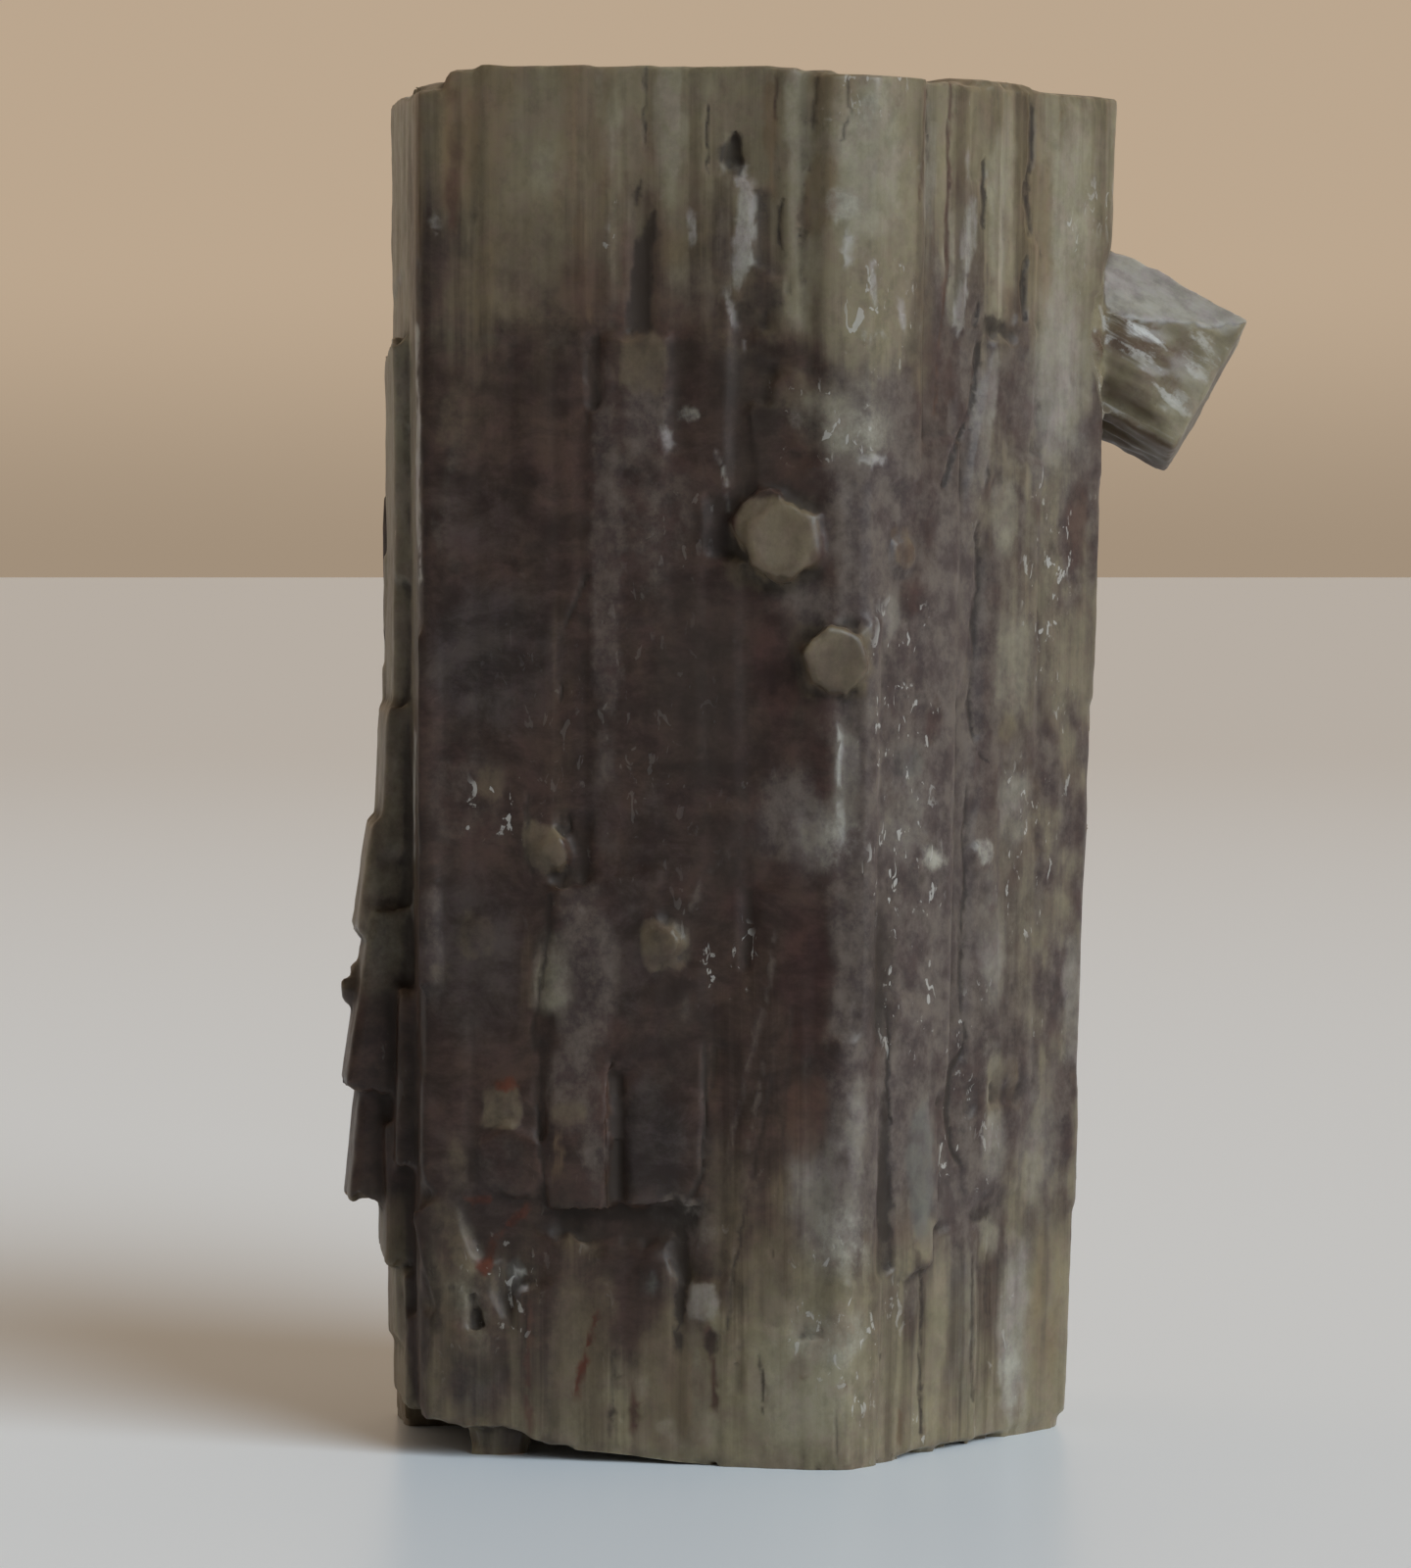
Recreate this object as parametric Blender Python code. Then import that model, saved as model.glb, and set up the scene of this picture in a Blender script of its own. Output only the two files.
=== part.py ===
"""A twinned aragonite crystal: one six-sided column with blades, crystal ends and a side crystal grown into it.

The column stands on its flat foot at the origin, +Z up, and the lower middle of its front face looks along -Y.
Sizes in the tables are millimetres. Everything is grown together, so all of it is joined into one solid.
"""

import math
import random
from typing import NamedTuple

import bmesh
import bpy
from mathutils import Matrix, Vector

MM = 0.001

# Driving dimensions of the column, in millimetres.
HEIGHT = 50.0
CORE_TOP = 50.05
EMBED = 2.6
ROOT_SPREAD = 0.9
CHAMFER = 0.22
JITTER = 0.03
SEED = 29

# Corners of the core in plan, at the foot and at the top: the column widens upwards on its right side.
FOOT_CORNERS = {
    "front_left": (-11.2, -8.4),
    "front": (3.2, -10.9),
    "right": (11.0, -1.9),
    "back_right": (8.3, 8.0),
    "back_left": (-4.4, 10.2),
    "left": (-12.6, 0.6),
}
TOP_CORNERS = {
    "front_left": (-11.3, -8.6),
    "front": (3.3, -11.0),
    "right": (13.9, -1.5),
    "back_right": (9.6, 8.9),
    "back_left": (-4.8, 10.9),
    "left": (-12.7, 0.4),
}
FACES = {
    "front": ("front_left", "front"),
    "front_right": ("front", "right"),
    "back_right": ("right", "back_right"),
    "back": ("back_right", "back_left"),
    "back_left": ("back_left", "left"),
    "left": ("left", "front_left"),
}


class Blade(NamedTuple):
    """A slat-like crystal grown on a face. left and right run along the face, low and high up it."""

    name: str
    left: float
    right: float
    low: float
    high: float
    proud: float
    lean: float = 0.0
    tilt: float = 0.0
    yaw: float = 0.0
    top_slope: float = 0.0
    foot_slope: float = 0.0
    narrow: float = 1.0
    chamfer: float = CHAMFER


class CrystalEnd(NamedTuple):
    """The six-sided end of a crystal that grew outwards through a face."""

    name: str
    along: float
    up: float
    radius: float
    proud: float
    roll: float = 0.0
    pitch: float = 0.0
    swing: float = 0.0


class Cleft(NamedTuple):
    """A narrow open gap between blades. depth is measured inwards from the core's face."""

    name: str
    left: float
    right: float
    low: float
    high: float
    depth: float
    lean: float = 0.0
    narrow: float = 1.0


# Blades of the broad front face, from its upper left to its lower right.
FRONT_BLADES = (
    Blade("worn_strip", -0.62, 0.82, 43.6, 49.84, 0.62, top_slope=4),
    Blade("brown_strip", 0.70, 1.84, 44.3, 50.30, 0.78, top_slope=3),
    Blade("shadow_strip", -0.34, 1.74, 9.9, 44.8, 0.98),
    Blade("rounded_rod", -0.56, 0.22, 17.2, 30.0, 1.42, chamfer=0.34),
    Blade("clear_panel", 1.76, 5.80, 40.68, 50.45, 1.27, foot_slope=-2),
    Blade("dusky_panel", 1.70, 5.74, 23.6, 41.2, 1.03),
    Blade("dusky_rib", 3.30, 4.42, 26.0, 43.5, 1.14, lean=-0.6),
    Blade("striped_panel", 5.68, 7.24, 41.0, 50.38, 1.12),
    Blade("striped_rib", 6.30, 6.78, 41.6, 50.30, 1.30, lean=1.0),
    Blade("comb_plate", 7.05, 8.12, 46.0, 50.42, 0.92, foot_slope=-28),
    Blade("comb_rib", 8.02, 9.44, 33.0, 50.36, 0.96),
    Blade("table_blade", 6.30, 8.72, 30.5, 40.70, 1.58, top_slope=-0.8),
    Blade("table_blade_root", 5.82, 10.05, 20.2, 37.2, 1.36, top_slope=-26),
    Blade("heart_panel", 5.74, 11.30, 15.4, 33.4, 1.20, top_slope=-18),
    Blade("slant_top_blade", 9.20, 10.80, 35.2, 46.4, 1.24, top_slope=14, lean=2.0),
    Blade("pale_facet", 10.70, 11.74, 42.5, 46.42, 1.06, tilt=7),
    Blade("crown_plate", 9.36, 12.46, 45.9, 50.33, 0.95),
    Blade("crown_rib_left", 9.90, 10.42, 46.8, 50.28, 1.10),
    Blade("crown_rib_right", 12.38, 13.02, 40.2, 50.28, 0.76),
    Blade("amber_rib", 12.95, 13.62, 38.4, 50.24, 1.06, lean=-1.0),
    Blade("amber_blade", 13.05, 14.20, 36.6, 42.6, 1.35, lean=-7, top_slope=-30),
    Blade("ember_panel", 11.20, 14.40, 21.0, 37.0, 0.86),
    Blade("core_rib", 13.60, 14.60, 20.0, 50.15, 0.92),
    # The tongues that hang over the lower ledge.
    Blade("long_tongue", 4.22, 6.64, 9.26, 18.6, 1.80, foot_slope=-4),
    Blade("long_tongue_root", 4.30, 8.44, 14.0, 21.3, 1.66, foot_slope=38, top_slope=10),
    Blade("short_tongue", 7.04, 10.18, 9.56, 18.2, 1.46, foot_slope=3, chamfer=0.40),
    Blade("corner_panel", 1.62, 4.08, 9.75, 24.4, 1.16, foot_slope=-5),
    Blade("corner_rib", 0.10, 1.20, 9.6, 16.6, 1.18, lean=1.5),
    # Ribs that fan out from the heart of the face towards its foot.
    Blade("fan_rib_a", 9.56, 10.70, 6.70, 18.0, 1.12, lean=6.5),
    Blade("fan_rib_b", 10.48, 11.68, 4.30, 21.0, 1.24, lean=5.0),
    Blade("fan_rib_c", 11.30, 12.20, 3.60, 22.4, 1.06, lean=4.0),
    Blade("fan_rib_d", 12.00, 13.40, 3.20, 23.4, 1.20, lean=2.4),
    Blade("fan_rib_e", 13.20, 14.50, 2.80, 23.0, 1.02, lean=1.0),
    Blade("block_end", 9.46, 11.02, 4.98, 6.74, 1.42, top_slope=4, foot_slope=-3),
    # The foot of the face, in strips that end just above the flat foot.
    Blade("foot_strip_a", 3.85, 5.60, 0.86, 8.1, 0.62, foot_slope=-2),
    Blade("foot_strip_b", 5.50, 7.10, 0.58, 7.6, 0.84, foot_slope=-3),
    Blade("foot_strip_c", 7.00, 8.95, 0.30, 6.9, 0.78, foot_slope=-2),
    Blade("foot_strip_d", 9.20, 10.60, 0.24, 6.0, 1.02, foot_slope=-3),
    Blade("foot_strip_e", 10.52, 12.10, 0.10, 5.2, 1.36),
    Blade("foot_strip_f", 12.02, 13.30, 0.07, 5.0, 1.44),
    Blade("foot_strip_g", 13.20, 14.50, 0.06, 4.6, 1.50),
    # The broken corner at the lower left, where short blades lean over each other.
    Blade("broken_a", 0.10, 1.90, 5.4, 9.5, 1.22, lean=-15, top_slope=12),
    Blade("broken_b", 1.50, 3.30, 3.4, 8.9, 1.05, lean=-21, narrow=0.6),
    Blade("broken_c", -0.36, 1.20, 1.35, 5.2, 0.98, lean=3, foot_slope=-3),
    Blade("broken_d", 1.00, 2.70, 1.20, 4.7, 1.30, lean=-8, top_slope=-24),
    Blade("broken_e", 2.50, 4.10, 1.12, 6.4, 1.00, lean=6, top_slope=25),
    Blade("broken_f", 0.60, 1.70, 3.6, 7.4, 0.86, lean=11),
)

# Blades of the face to the right of the front edge.
FRONT_RIGHT_BLADES = (
    Blade("pale_panel", -1.30, 3.20, 35.6, 49.97, 0.96, yaw=-19, foot_slope=-6),
    Blade("pale_rib", 1.00, 2.10, 38.2, 49.88, 1.12, yaw=-16),
    Blade("lilac_panel", -0.90, 5.30, 13.4, 36.8, 0.92, yaw=-13, top_slope=7),
    Blade("lilac_rib", 0.10, 0.90, 15.0, 30.6, 1.26, yaw=-10),
    Blade("grey_strip", 2.60, 4.40, 32.6, 49.92, 0.70),
    Blade("milky_blade", 4.46, 6.34, 41.0, 46.6, 1.06, lean=4, top_slope=20, narrow=0.5),
    Blade("grey_rib", 4.34, 6.50, 43.0, 49.86, 0.58),
    Blade("fluted_strip", 6.44, 7.36, 41.4, 49.94, 0.98, lean=-0.6),
    Blade("fluted_strip_mid", 7.28, 8.04, 41.2, 49.82, 0.82),
    Blade("fluted_strip_edge", 7.96, 8.92, 41.3, 49.88, 1.02),
    Blade("slanting_blade", 4.90, 6.40, 33.4, 41.0, 1.28, lean=14, top_slope=-13),
    Blade("slanting_blade_foot", 3.90, 5.30, 28.0, 35.2, 1.04, lean=11, top_slope=-18),
    Blade("mossy_panel", 6.30, 9.70, 25.5, 36.4, 1.26, lean=0.8, foot_slope=2),
    Blade("mossy_panel_top", 7.40, 9.20, 35.2, 40.7, 1.02, top_slope=8),
    Blade("mossy_panel_low", 5.90, 9.95, 13.5, 26.1, 1.08, foot_slope=-2),
    Blade("mossy_rib", 6.80, 7.80, 14.6, 24.0, 1.24, lean=-1.2),
    Blade("stepped_block", 6.00, 9.36, 9.30, 12.4, 1.02, foot_slope=3, top_slope=6),
    Blade("stepped_block_low", 5.70, 8.60, 7.50, 9.9, 0.80, foot_slope=-4),
    Blade("right_column", 9.30, 12.90, 0.40, 49.66, 0.84, lean=0.7, foot_slope=5),
    Blade("right_column_rib", 10.10, 11.30, 4.40, 49.60, 1.00, lean=0.5),
    Blade("right_column_crest", 11.40, 13.50, 27.6, 49.50, 0.96, lean=0.4, foot_slope=-12),
    Blade("right_column_waist", 11.20, 13.02, 23.4, 28.4, 0.92, foot_slope=-10),
    Blade("hanging_blade", 1.72, 4.30, 6.95, 17.0, 1.40, lean=-3.0, foot_slope=5, yaw=-8),
    Blade("hanging_rib", 3.90, 4.70, 8.40, 15.2, 1.26, lean=-4, yaw=-6),
    Blade("hem_panel", -0.80, 1.30, 4.2, 15.6, 1.02, yaw=-12),
    Blade("hem_strip_a", -0.86, 1.50, 0.08, 6.8, 1.26, yaw=-14),
    Blade("hem_strip_b", 1.30, 3.30, 0.12, 7.3, 1.00, foot_slope=3),
    Blade("hem_strip_c", 3.10, 5.10, 0.20, 8.0, 0.80, foot_slope=2),
    Blade("hem_strip_d", 4.90, 7.10, 0.16, 8.2, 0.90, foot_slope=-2),
    Blade("hem_strip_e", 6.90, 9.60, 0.20, 8.6, 0.72, foot_slope=2),
)

# Blades of the left face, counted from its far edge; the lower ones step out past the front face's edge.
LEFT_BLADES = (
    Blade("left_crown", 0.30, 5.60, 43.1, 49.94, 0.76, top_slope=0.6, foot_slope=9),
    Blade("left_crown_near", 5.20, 9.20, 37.6, 49.86, 0.44),
    Blade("left_plate", 2.60, 6.60, 32.0, 40.55, 1.22, tilt=0.4, top_slope=9),
    Blade("left_plate_low", 2.20, 6.30, 25.9, 33.0, 1.44, tilt=-1.4),
    Blade("left_plate_root", 2.90, 6.70, 21.8, 27.2, 1.92, tilt=-3.5),
    Blade("left_plate_tail", 3.40, 6.50, 18.6, 22.8, 2.70, tilt=-7.5),
    Blade("left_plate_back", 0.20, 3.20, 10.0, 38.0, 0.96),
    Blade("step_blade_top", 4.00, 6.90, 12.90, 19.6, 3.22, tilt=-8.6, foot_slope=-1),
    Blade("step_blade_mid", 3.50, 6.30, 8.72, 14.8, 3.10, tilt=-6.2, foot_slope=2),
    Blade("step_blade_inner", 6.20, 8.10, 10.4, 16.8, 1.52, tilt=-2),
    Blade("step_blade_low", 3.70, 7.10, 6.92, 12.0, 1.86, foot_slope=-4),
    Blade("step_blade_foot", 3.20, 6.80, 3.80, 9.6, 1.38, foot_slope=3),
    Blade("left_foot", 2.80, 7.70, 1.50, 6.4, 1.12, foot_slope=-2),
    Blade("left_foot_near", 7.20, 9.00, 1.60, 8.6, 0.46),
    Blade("left_foot_back", 0.10, 3.00, 0.30, 11.0, 0.72),
    Blade("left_inner_strip", 7.30, 8.70, 12.0, 36.0, 0.62, lean=0.5),
)

# Ends of crystals that grew outwards through the faces.
FRONT_ENDS = (
    CrystalEnd("great_end", 12.74, 33.20, 1.58, 2.05, roll=8, pitch=-5, swing=6),
    CrystalEnd("great_end_lobe", 11.92, 33.90, 1.24, 1.90, roll=22, pitch=-4, swing=6),
    CrystalEnd("front_edge_end", 14.34, 29.30, 1.32, 2.02, roll=17, pitch=4, swing=14),
    CrystalEnd("cluster_end_a", 11.80, 42.10, 0.86, 1.22, roll=10, pitch=-12),
    CrystalEnd("cluster_end_b", 12.46, 40.40, 0.62, 1.10, roll=33, swing=-8),
    CrystalEnd("cluster_end_c", 13.00, 38.90, 0.80, 1.52, roll=5, pitch=6, swing=5),
    CrystalEnd("cluster_end_d", 12.08, 37.80, 0.94, 1.12, roll=21, pitch=10),
    CrystalEnd("cluster_end_e", 13.46, 37.84, 0.46, 1.38, roll=40),
    CrystalEnd("small_end_a", 4.50, 22.45, 0.64, 1.62, roll=12, pitch=8),
    CrystalEnd("small_end_b", 8.70, 19.00, 0.72, 1.78, roll=30, swing=-6),
    CrystalEnd("small_end_c", 1.76, 19.10, 0.64, 1.34, roll=18),
    CrystalEnd("rusty_end", 3.02, 13.20, 0.84, 1.44, roll=28, pitch=-6),
    CrystalEnd("round_end", 3.10, 11.10, 1.44, 1.62, roll=3, pitch=5, swing=-5),
    CrystalEnd("ledge_end", 8.16, 6.70, 0.66, 0.98, roll=14, pitch=-10),
)
FRONT_RIGHT_ENDS = (
    CrystalEnd("tawny_end", 8.60, 40.9, 0.80, 1.30, roll=22, pitch=-8),
    CrystalEnd("lilac_end", 2.20, 32.9, 0.64, 1.50, roll=9, swing=-14),
    CrystalEnd("milky_end", 6.60, 22.0, 0.70, 1.46, roll=35, pitch=6),
    CrystalEnd("stepped_end", 8.30, 12.9, 0.70, 1.22, roll=15, pitch=-12),
)
LEFT_ENDS = (
    CrystalEnd("left_knob", 4.60, 18.0, 0.62, 2.86, roll=12, pitch=18),
    CrystalEnd("left_knob_low", 5.00, 17.0, 0.50, 3.20, roll=30, pitch=6),
)

# Open gaps, cut after everything has grown together.
FRONT_CLEFTS = (
    Cleft("dark_wedge", 7.26, 8.02, 40.76, 46.0, 0.30, lean=2.6, narrow=0.45),
    Cleft("crown_pit", 10.58, 11.50, 46.56, 48.1, 0.55, narrow=0.30),
    Cleft("crown_slit", 12.40, 12.62, 42.6, 47.4, 0.10),
    Cleft("edge_slit", 13.42, 13.62, 40.8, 46.6, 0.10, lean=-1.5),
    Cleft("heart_slit", 10.14, 10.36, 33.8, 39.6, 0.20, lean=-6),
    Cleft("heart_gap", 11.06, 11.90, 34.9, 38.3, 0.25, lean=-3, narrow=0.6),
    Cleft("left_seam", 5.56, 5.80, 19.8, 31.4, 0.20, lean=1.6),
    Cleft("tongue_gap", 6.62, 6.92, 9.0, 12.9, 0.40, lean=0.5),
    Cleft("tongue_crack", 10.02, 10.22, 9.3, 17.0, 0.25, lean=1.2),
    Cleft("ledge_gap", 9.02, 9.34, 4.7, 9.6, 0.55, lean=-1),
    Cleft("ledge_hollow", 4.40, 9.00, 8.05, 9.24, 0.35, narrow=0.97),
    Cleft("corner_gap", 4.02, 4.24, 9.2, 16.4, 0.30, lean=-1),
    Cleft("hem_notch_a", 3.78, 4.00, 2.6, 5.6, 0.30),
    Cleft("hem_notch_b", 8.60, 8.80, 1.0, 3.9, 0.25),
    Cleft("hem_notch_c", 11.00, 11.34, 2.6, 4.6, 0.30, lean=4),
    Cleft("broken_hollow", 1.30, 1.96, 4.6, 6.6, 0.20, lean=-10, narrow=0.5),
)
FRONT_RIGHT_CLEFTS = (
    Cleft("crown_crack", 8.92, 9.26, 41.6, 50.6, 0.30),
    Cleft("strip_seam", 4.30, 4.48, 36.2, 47.0, 0.10),
    Cleft("hanging_gap", 1.28, 1.92, 6.9, 13.4, 0.40, lean=-2, narrow=0.35),
    Cleft("hem_hole", 3.86, 4.10, 5.0, 7.0, 0.30, lean=3),
    Cleft("hem_slit_a", 5.04, 5.18, 0.6, 5.4, 0.15),
    Cleft("hem_slit_b", 6.96, 7.10, 1.0, 6.2, 0.15),
    Cleft("ledge_gap_high", 6.44, 8.90, 40.86, 41.26, 0.20),
    Cleft("step_gap_a", 6.00, 9.30, 12.62, 13.42, 0.35),
)
LEFT_CLEFTS = (
    Cleft("corner_seam", 8.72, 9.16, 33.4, 43.6, 0.50, lean=0.4, narrow=0.35),
    Cleft("crown_notch", 1.0, 6.6, 41.3, 42.95, 0.20, narrow=0.9),
    Cleft("foot_seam", 7.40, 7.86, 4.9, 8.2, 0.45),
)

# The jagged crack down the front right face: along and up in millimetres, from its top.
LONG_CRACK = (
    (7.90, 38.3), (7.53, 36.8), (6.90, 35.2), (6.33, 33.5), (6.04, 31.5), (5.75, 29.1),
    (6.32, 27.0), (6.53, 25.4), (5.84, 22.7), (5.98, 21.0), (5.93, 19.1), (5.60, 17.2),
    (5.44, 15.5), (5.75, 14.4), (5.08, 13.3), (5.24, 11.9), (5.86, 9.9), (6.10, 8.6),
)
CRACK_WIDTH = 0.22
CRACK_DEPTH = 0.25

# The rear faces are covered by a rule: this many blades and crystal ends on each.
REAR_BLADES = {"back_right": 13, "back": 16, "back_left": 14}
REAR_ENDS = {"back_right": 3, "back": 6, "back_left": 4}
TOP_TILES = 13

# The six-sided crystal that grew out of the right side, pointing down and away from the column.
SIDE_CRYSTAL_RADIUS = 3.45
SIDE_CRYSTAL_LENGTH = 13.0
SIDE_CRYSTAL_TIP = (17.6, 1.0, 38.95)
SIDE_CRYSTAL_AXIS = (0.87, -0.10, -0.48)
SIDE_CRYSTAL_ROLL = 14.0
SIDE_FACET_AT = (19.0, -0.3, 41.5)
SIDE_FACET_OUTWARD = (0.30, -0.954, 0.03)

# The nub under the raised corner, and the cut that raises it.
NUB_AT = (-9.0, -7.9)
NUB_SIZE = (2.9, 2.2, 2.4)
RAISED_CORNER = 1.15


def clear_scene():
    """Remove every object that the file started with."""
    for obj in list(bpy.data.objects):
        bpy.data.objects.remove(obj, do_unlink=True)


def new_collection(name):
    """A collection linked to the scene."""
    made = bpy.data.collections.new(name)
    bpy.context.scene.collection.children.link(made)
    return made


def add_object(name, bm, collection, matrix=None):
    """Turn a bmesh in millimetres into an object in metres."""
    if matrix is not None:
        bmesh.ops.transform(bm, matrix=matrix, verts=bm.verts)
    bmesh.ops.connect_verts_nonplanar(bm, angle_limit=math.radians(0.01), faces=bm.faces)
    bmesh.ops.scale(bm, vec=(MM, MM, MM), verts=bm.verts)
    bmesh.ops.recalc_face_normals(bm, faces=bm.faces)
    mesh = bpy.data.meshes.new(name)
    bm.to_mesh(mesh)
    bm.free()
    obj = bpy.data.objects.new(name, mesh)
    collection.objects.link(obj)
    return obj


def as_guide(obj):
    """Hide a piece that is only joined to the column or cut out of it."""
    obj.hide_render = True
    obj.display_type = "WIRE"


def face_frame(face):
    """Matrix from a face's own axes (along it, inwards, up it) to the column's, with its origin at the foot."""
    start, end = FACES[face]
    foot_start = Vector((*FOOT_CORNERS[start], 0.0))
    foot_end = Vector((*FOOT_CORNERS[end], 0.0))
    top_start = Vector((*TOP_CORNERS[start], HEIGHT))
    top_end = Vector((*TOP_CORNERS[end], HEIGHT))
    along = (foot_end - foot_start).normalized()
    rise = ((top_start + top_end) - (foot_start + foot_end)).normalized()
    inward = rise.cross(along).normalized()
    up = along.cross(inward)
    turn = Matrix((along, inward, up)).transposed().to_4x4()
    return Matrix.Translation(foot_start) @ turn


def face_width(face):
    """Length of a face along its foot."""
    start, end = FACES[face]
    return (Vector(FOOT_CORNERS[end]) - Vector(FOOT_CORNERS[start])).length


def build_core(collection):
    """The six-sided core, lofted from the foot outline to the top outline."""
    bm = bmesh.new()
    ring = bmesh.ops.create_circle(bm, cap_ends=True, segments=len(FOOT_CORNERS), radius=1.0)
    for vert, corner in zip(ring["verts"], FOOT_CORNERS.values()):
        vert.co = (*corner, 0.0)
    lid = bmesh.ops.extrude_face_region(bm, geom=bm.faces[:])
    lid_verts = [item for item in lid["geom"] if isinstance(item, bmesh.types.BMVert)]
    for vert in lid_verts:
        at_foot = list(FOOT_CORNERS.values()).index(nearest_corner(vert.co))
        vert.co = (*list(TOP_CORNERS.values())[at_foot], CORE_TOP)
    return add_object("aragonite", bm, collection)


def nearest_corner(point):
    """The foot corner that a point stands over."""
    return min(FOOT_CORNERS.values(), key=lambda corner: (Vector(corner) - point.xy).length)


def slat(width, depth, height, chamfer, narrow=1.0):
    """A box centred in plan on its foot, with its two outer upright edges chamfered."""
    bm = bmesh.new()
    bmesh.ops.create_cube(bm, size=1.0)
    bmesh.ops.scale(bm, vec=(width, depth, height), verts=bm.verts)
    bmesh.ops.translate(bm, vec=(0, 0, height / 2), verts=bm.verts)
    outer = [
        edge for edge in bm.edges
        if all(vert.co.y < 0 for vert in edge.verts)
        and abs(edge.verts[0].co.z - edge.verts[1].co.z) > height / 2
    ]
    if chamfer > 0:
        bmesh.ops.bevel(
            bm, geom=outer, offset=min(chamfer, width * 0.3), affect="EDGES",
            segments=1, profile=0.5, material=-1,
        )
    for vert in bm.verts:
        if vert.co.z > height / 2:
            vert.co.x *= narrow
    return bm


def slope_ends(bm, height, top_slope, foot_slope):
    """Slope a slat's two ends across its width."""
    for vert in bm.verts:
        slope = top_slope if vert.co.z > height / 2 else foot_slope
        vert.co.z += vert.co.x * math.tan(math.radians(slope))


def add_blade(face, blade, collection, rng):
    """One blade, rooted in the core and standing proud of its face."""
    height = blade.high - blade.low
    root = EMBED + rng.uniform(0.0, ROOT_SPREAD)
    depth = root + blade.proud + rng.uniform(-JITTER, JITTER)
    bm = slat(blade.right - blade.left, depth, height, blade.chamfer, blade.narrow)
    slope_ends(bm, height, blade.top_slope, blade.foot_slope)
    turn = (
        Matrix.Rotation(math.radians(blade.yaw), 4, "Z")
        @ Matrix.Rotation(math.radians(blade.lean), 4, "Y")
        @ Matrix.Rotation(math.radians(blade.tilt), 4, "X")
    )
    middle = (blade.left + blade.right) / 2
    place = Matrix.Translation((middle, root - depth / 2, blade.low))
    obj = add_object(f"{face}_{blade.name}", bm, collection, face_frame(face) @ place @ turn)
    as_guide(obj)


def add_end(face, end, collection):
    """One crystal end: a six-sided prism that narrows a little outwards."""
    length = EMBED + end.proud
    bm = bmesh.new()
    bmesh.ops.create_cone(
        bm, cap_ends=True, segments=6, radius1=end.radius * 1.04, radius2=end.radius * 0.94, depth=length
    )
    outwards = Matrix.Rotation(math.radians(90), 4, "X")
    turn = (
        Matrix.Rotation(math.radians(end.swing), 4, "Z")
        @ Matrix.Rotation(math.radians(end.pitch), 4, "X")
        @ outwards
        @ Matrix.Rotation(math.radians(end.roll), 4, "Z")
    )
    place = Matrix.Translation((end.along, EMBED - length / 2, end.up))
    obj = add_object(f"{face}_{end.name}", bm, collection, face_frame(face) @ place @ turn)
    as_guide(obj)


def add_cleft(face, cleft, collection):
    """A cutter for one open gap, running well out past the blades."""
    height = cleft.high - cleft.low
    reach = 4.0
    bm = slat(cleft.right - cleft.left, cleft.depth + reach, height, 0.0, cleft.narrow)
    place = Matrix.Translation(((cleft.left + cleft.right) / 2, (cleft.depth - reach) / 2, cleft.low))
    lean = Matrix.Rotation(math.radians(cleft.lean), 4, "Y")
    obj = add_object(f"cut_{face}_{cleft.name}", bm, collection, face_frame(face) @ place @ lean)
    as_guide(obj)


def add_crack(collection):
    """The cutter for the long crack: a ribbon through its points, wide and narrow by turns, given a depth."""
    reach = 4.0
    bm = bmesh.new()
    bmesh.ops.create_grid(bm, x_segments=1, y_segments=len(LONG_CRACK) - 1, size=0.5)
    for vert in bm.verts:
        number = round((0.5 - vert.co.y) * (len(LONG_CRACK) - 1))
        along, up = LONG_CRACK[number]
        half = CRACK_WIDTH * (0.5 + 0.22 * (number % 3))
        side = 1.0 if vert.co.x > 0 else -1.0
        vert.co = (along + side * half, -reach, up)
    back = bmesh.ops.extrude_face_region(bm, geom=bm.faces[:])
    back_verts = [item for item in back["geom"] if isinstance(item, bmesh.types.BMVert)]
    bmesh.ops.translate(bm, vec=(0, reach + CRACK_DEPTH, 0), verts=back_verts)
    obj = add_object("cut_long_crack", bm, collection, face_frame("front_right"))
    as_guide(obj)


def add_rear_blades(face, count, collection, rng):
    """Blades side by side over a rear face, in two layers: tall backing strips and shorter ones over them."""
    width = face_width(face)
    step = width / count
    for number in range(count):
        left = number * step + rng.uniform(-0.15, 0.15) * step
        tall = number % 2 == 0
        low = rng.uniform(0.15, 1.4) if tall else rng.uniform(0.6, 26.0)
        high = rng.uniform(49.5, 50.3) if tall or rng.random() < 0.4 else rng.uniform(low + 10.0, 48.0)
        proud = rng.uniform(0.45, 0.95) if tall else rng.uniform(0.9, 1.7)
        near_edge = min(1.0, 0.3 + 0.25 * number)
        blade = Blade(
            f"rear_{number:02d}",
            left - 0.3 * step,
            left + rng.uniform(1.1, 1.9) * step,
            low,
            high,
            proud * near_edge,
            lean=rng.uniform(-1.2, 1.2),
            top_slope=rng.uniform(-2, 2) if high > 49 else rng.uniform(-20, 20),
            foot_slope=rng.uniform(-8, 8),
        )
        add_blade(face, blade, collection, rng)


def add_rear_ends(face, count, collection, rng):
    """Crystal ends scattered over a rear face."""
    width = face_width(face)
    for number in range(count):
        end = CrystalEnd(
            f"end_{number}",
            width * (number + rng.uniform(0.25, 0.75)) / count,
            rng.uniform(6.0, 44.0),
            rng.uniform(0.5, 1.4),
            rng.uniform(1.5, 2.1),
            roll=rng.uniform(0, 60),
            pitch=rng.uniform(-12, 12),
            swing=rng.uniform(-12, 12),
        )
        add_end(face, end, collection)


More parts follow.
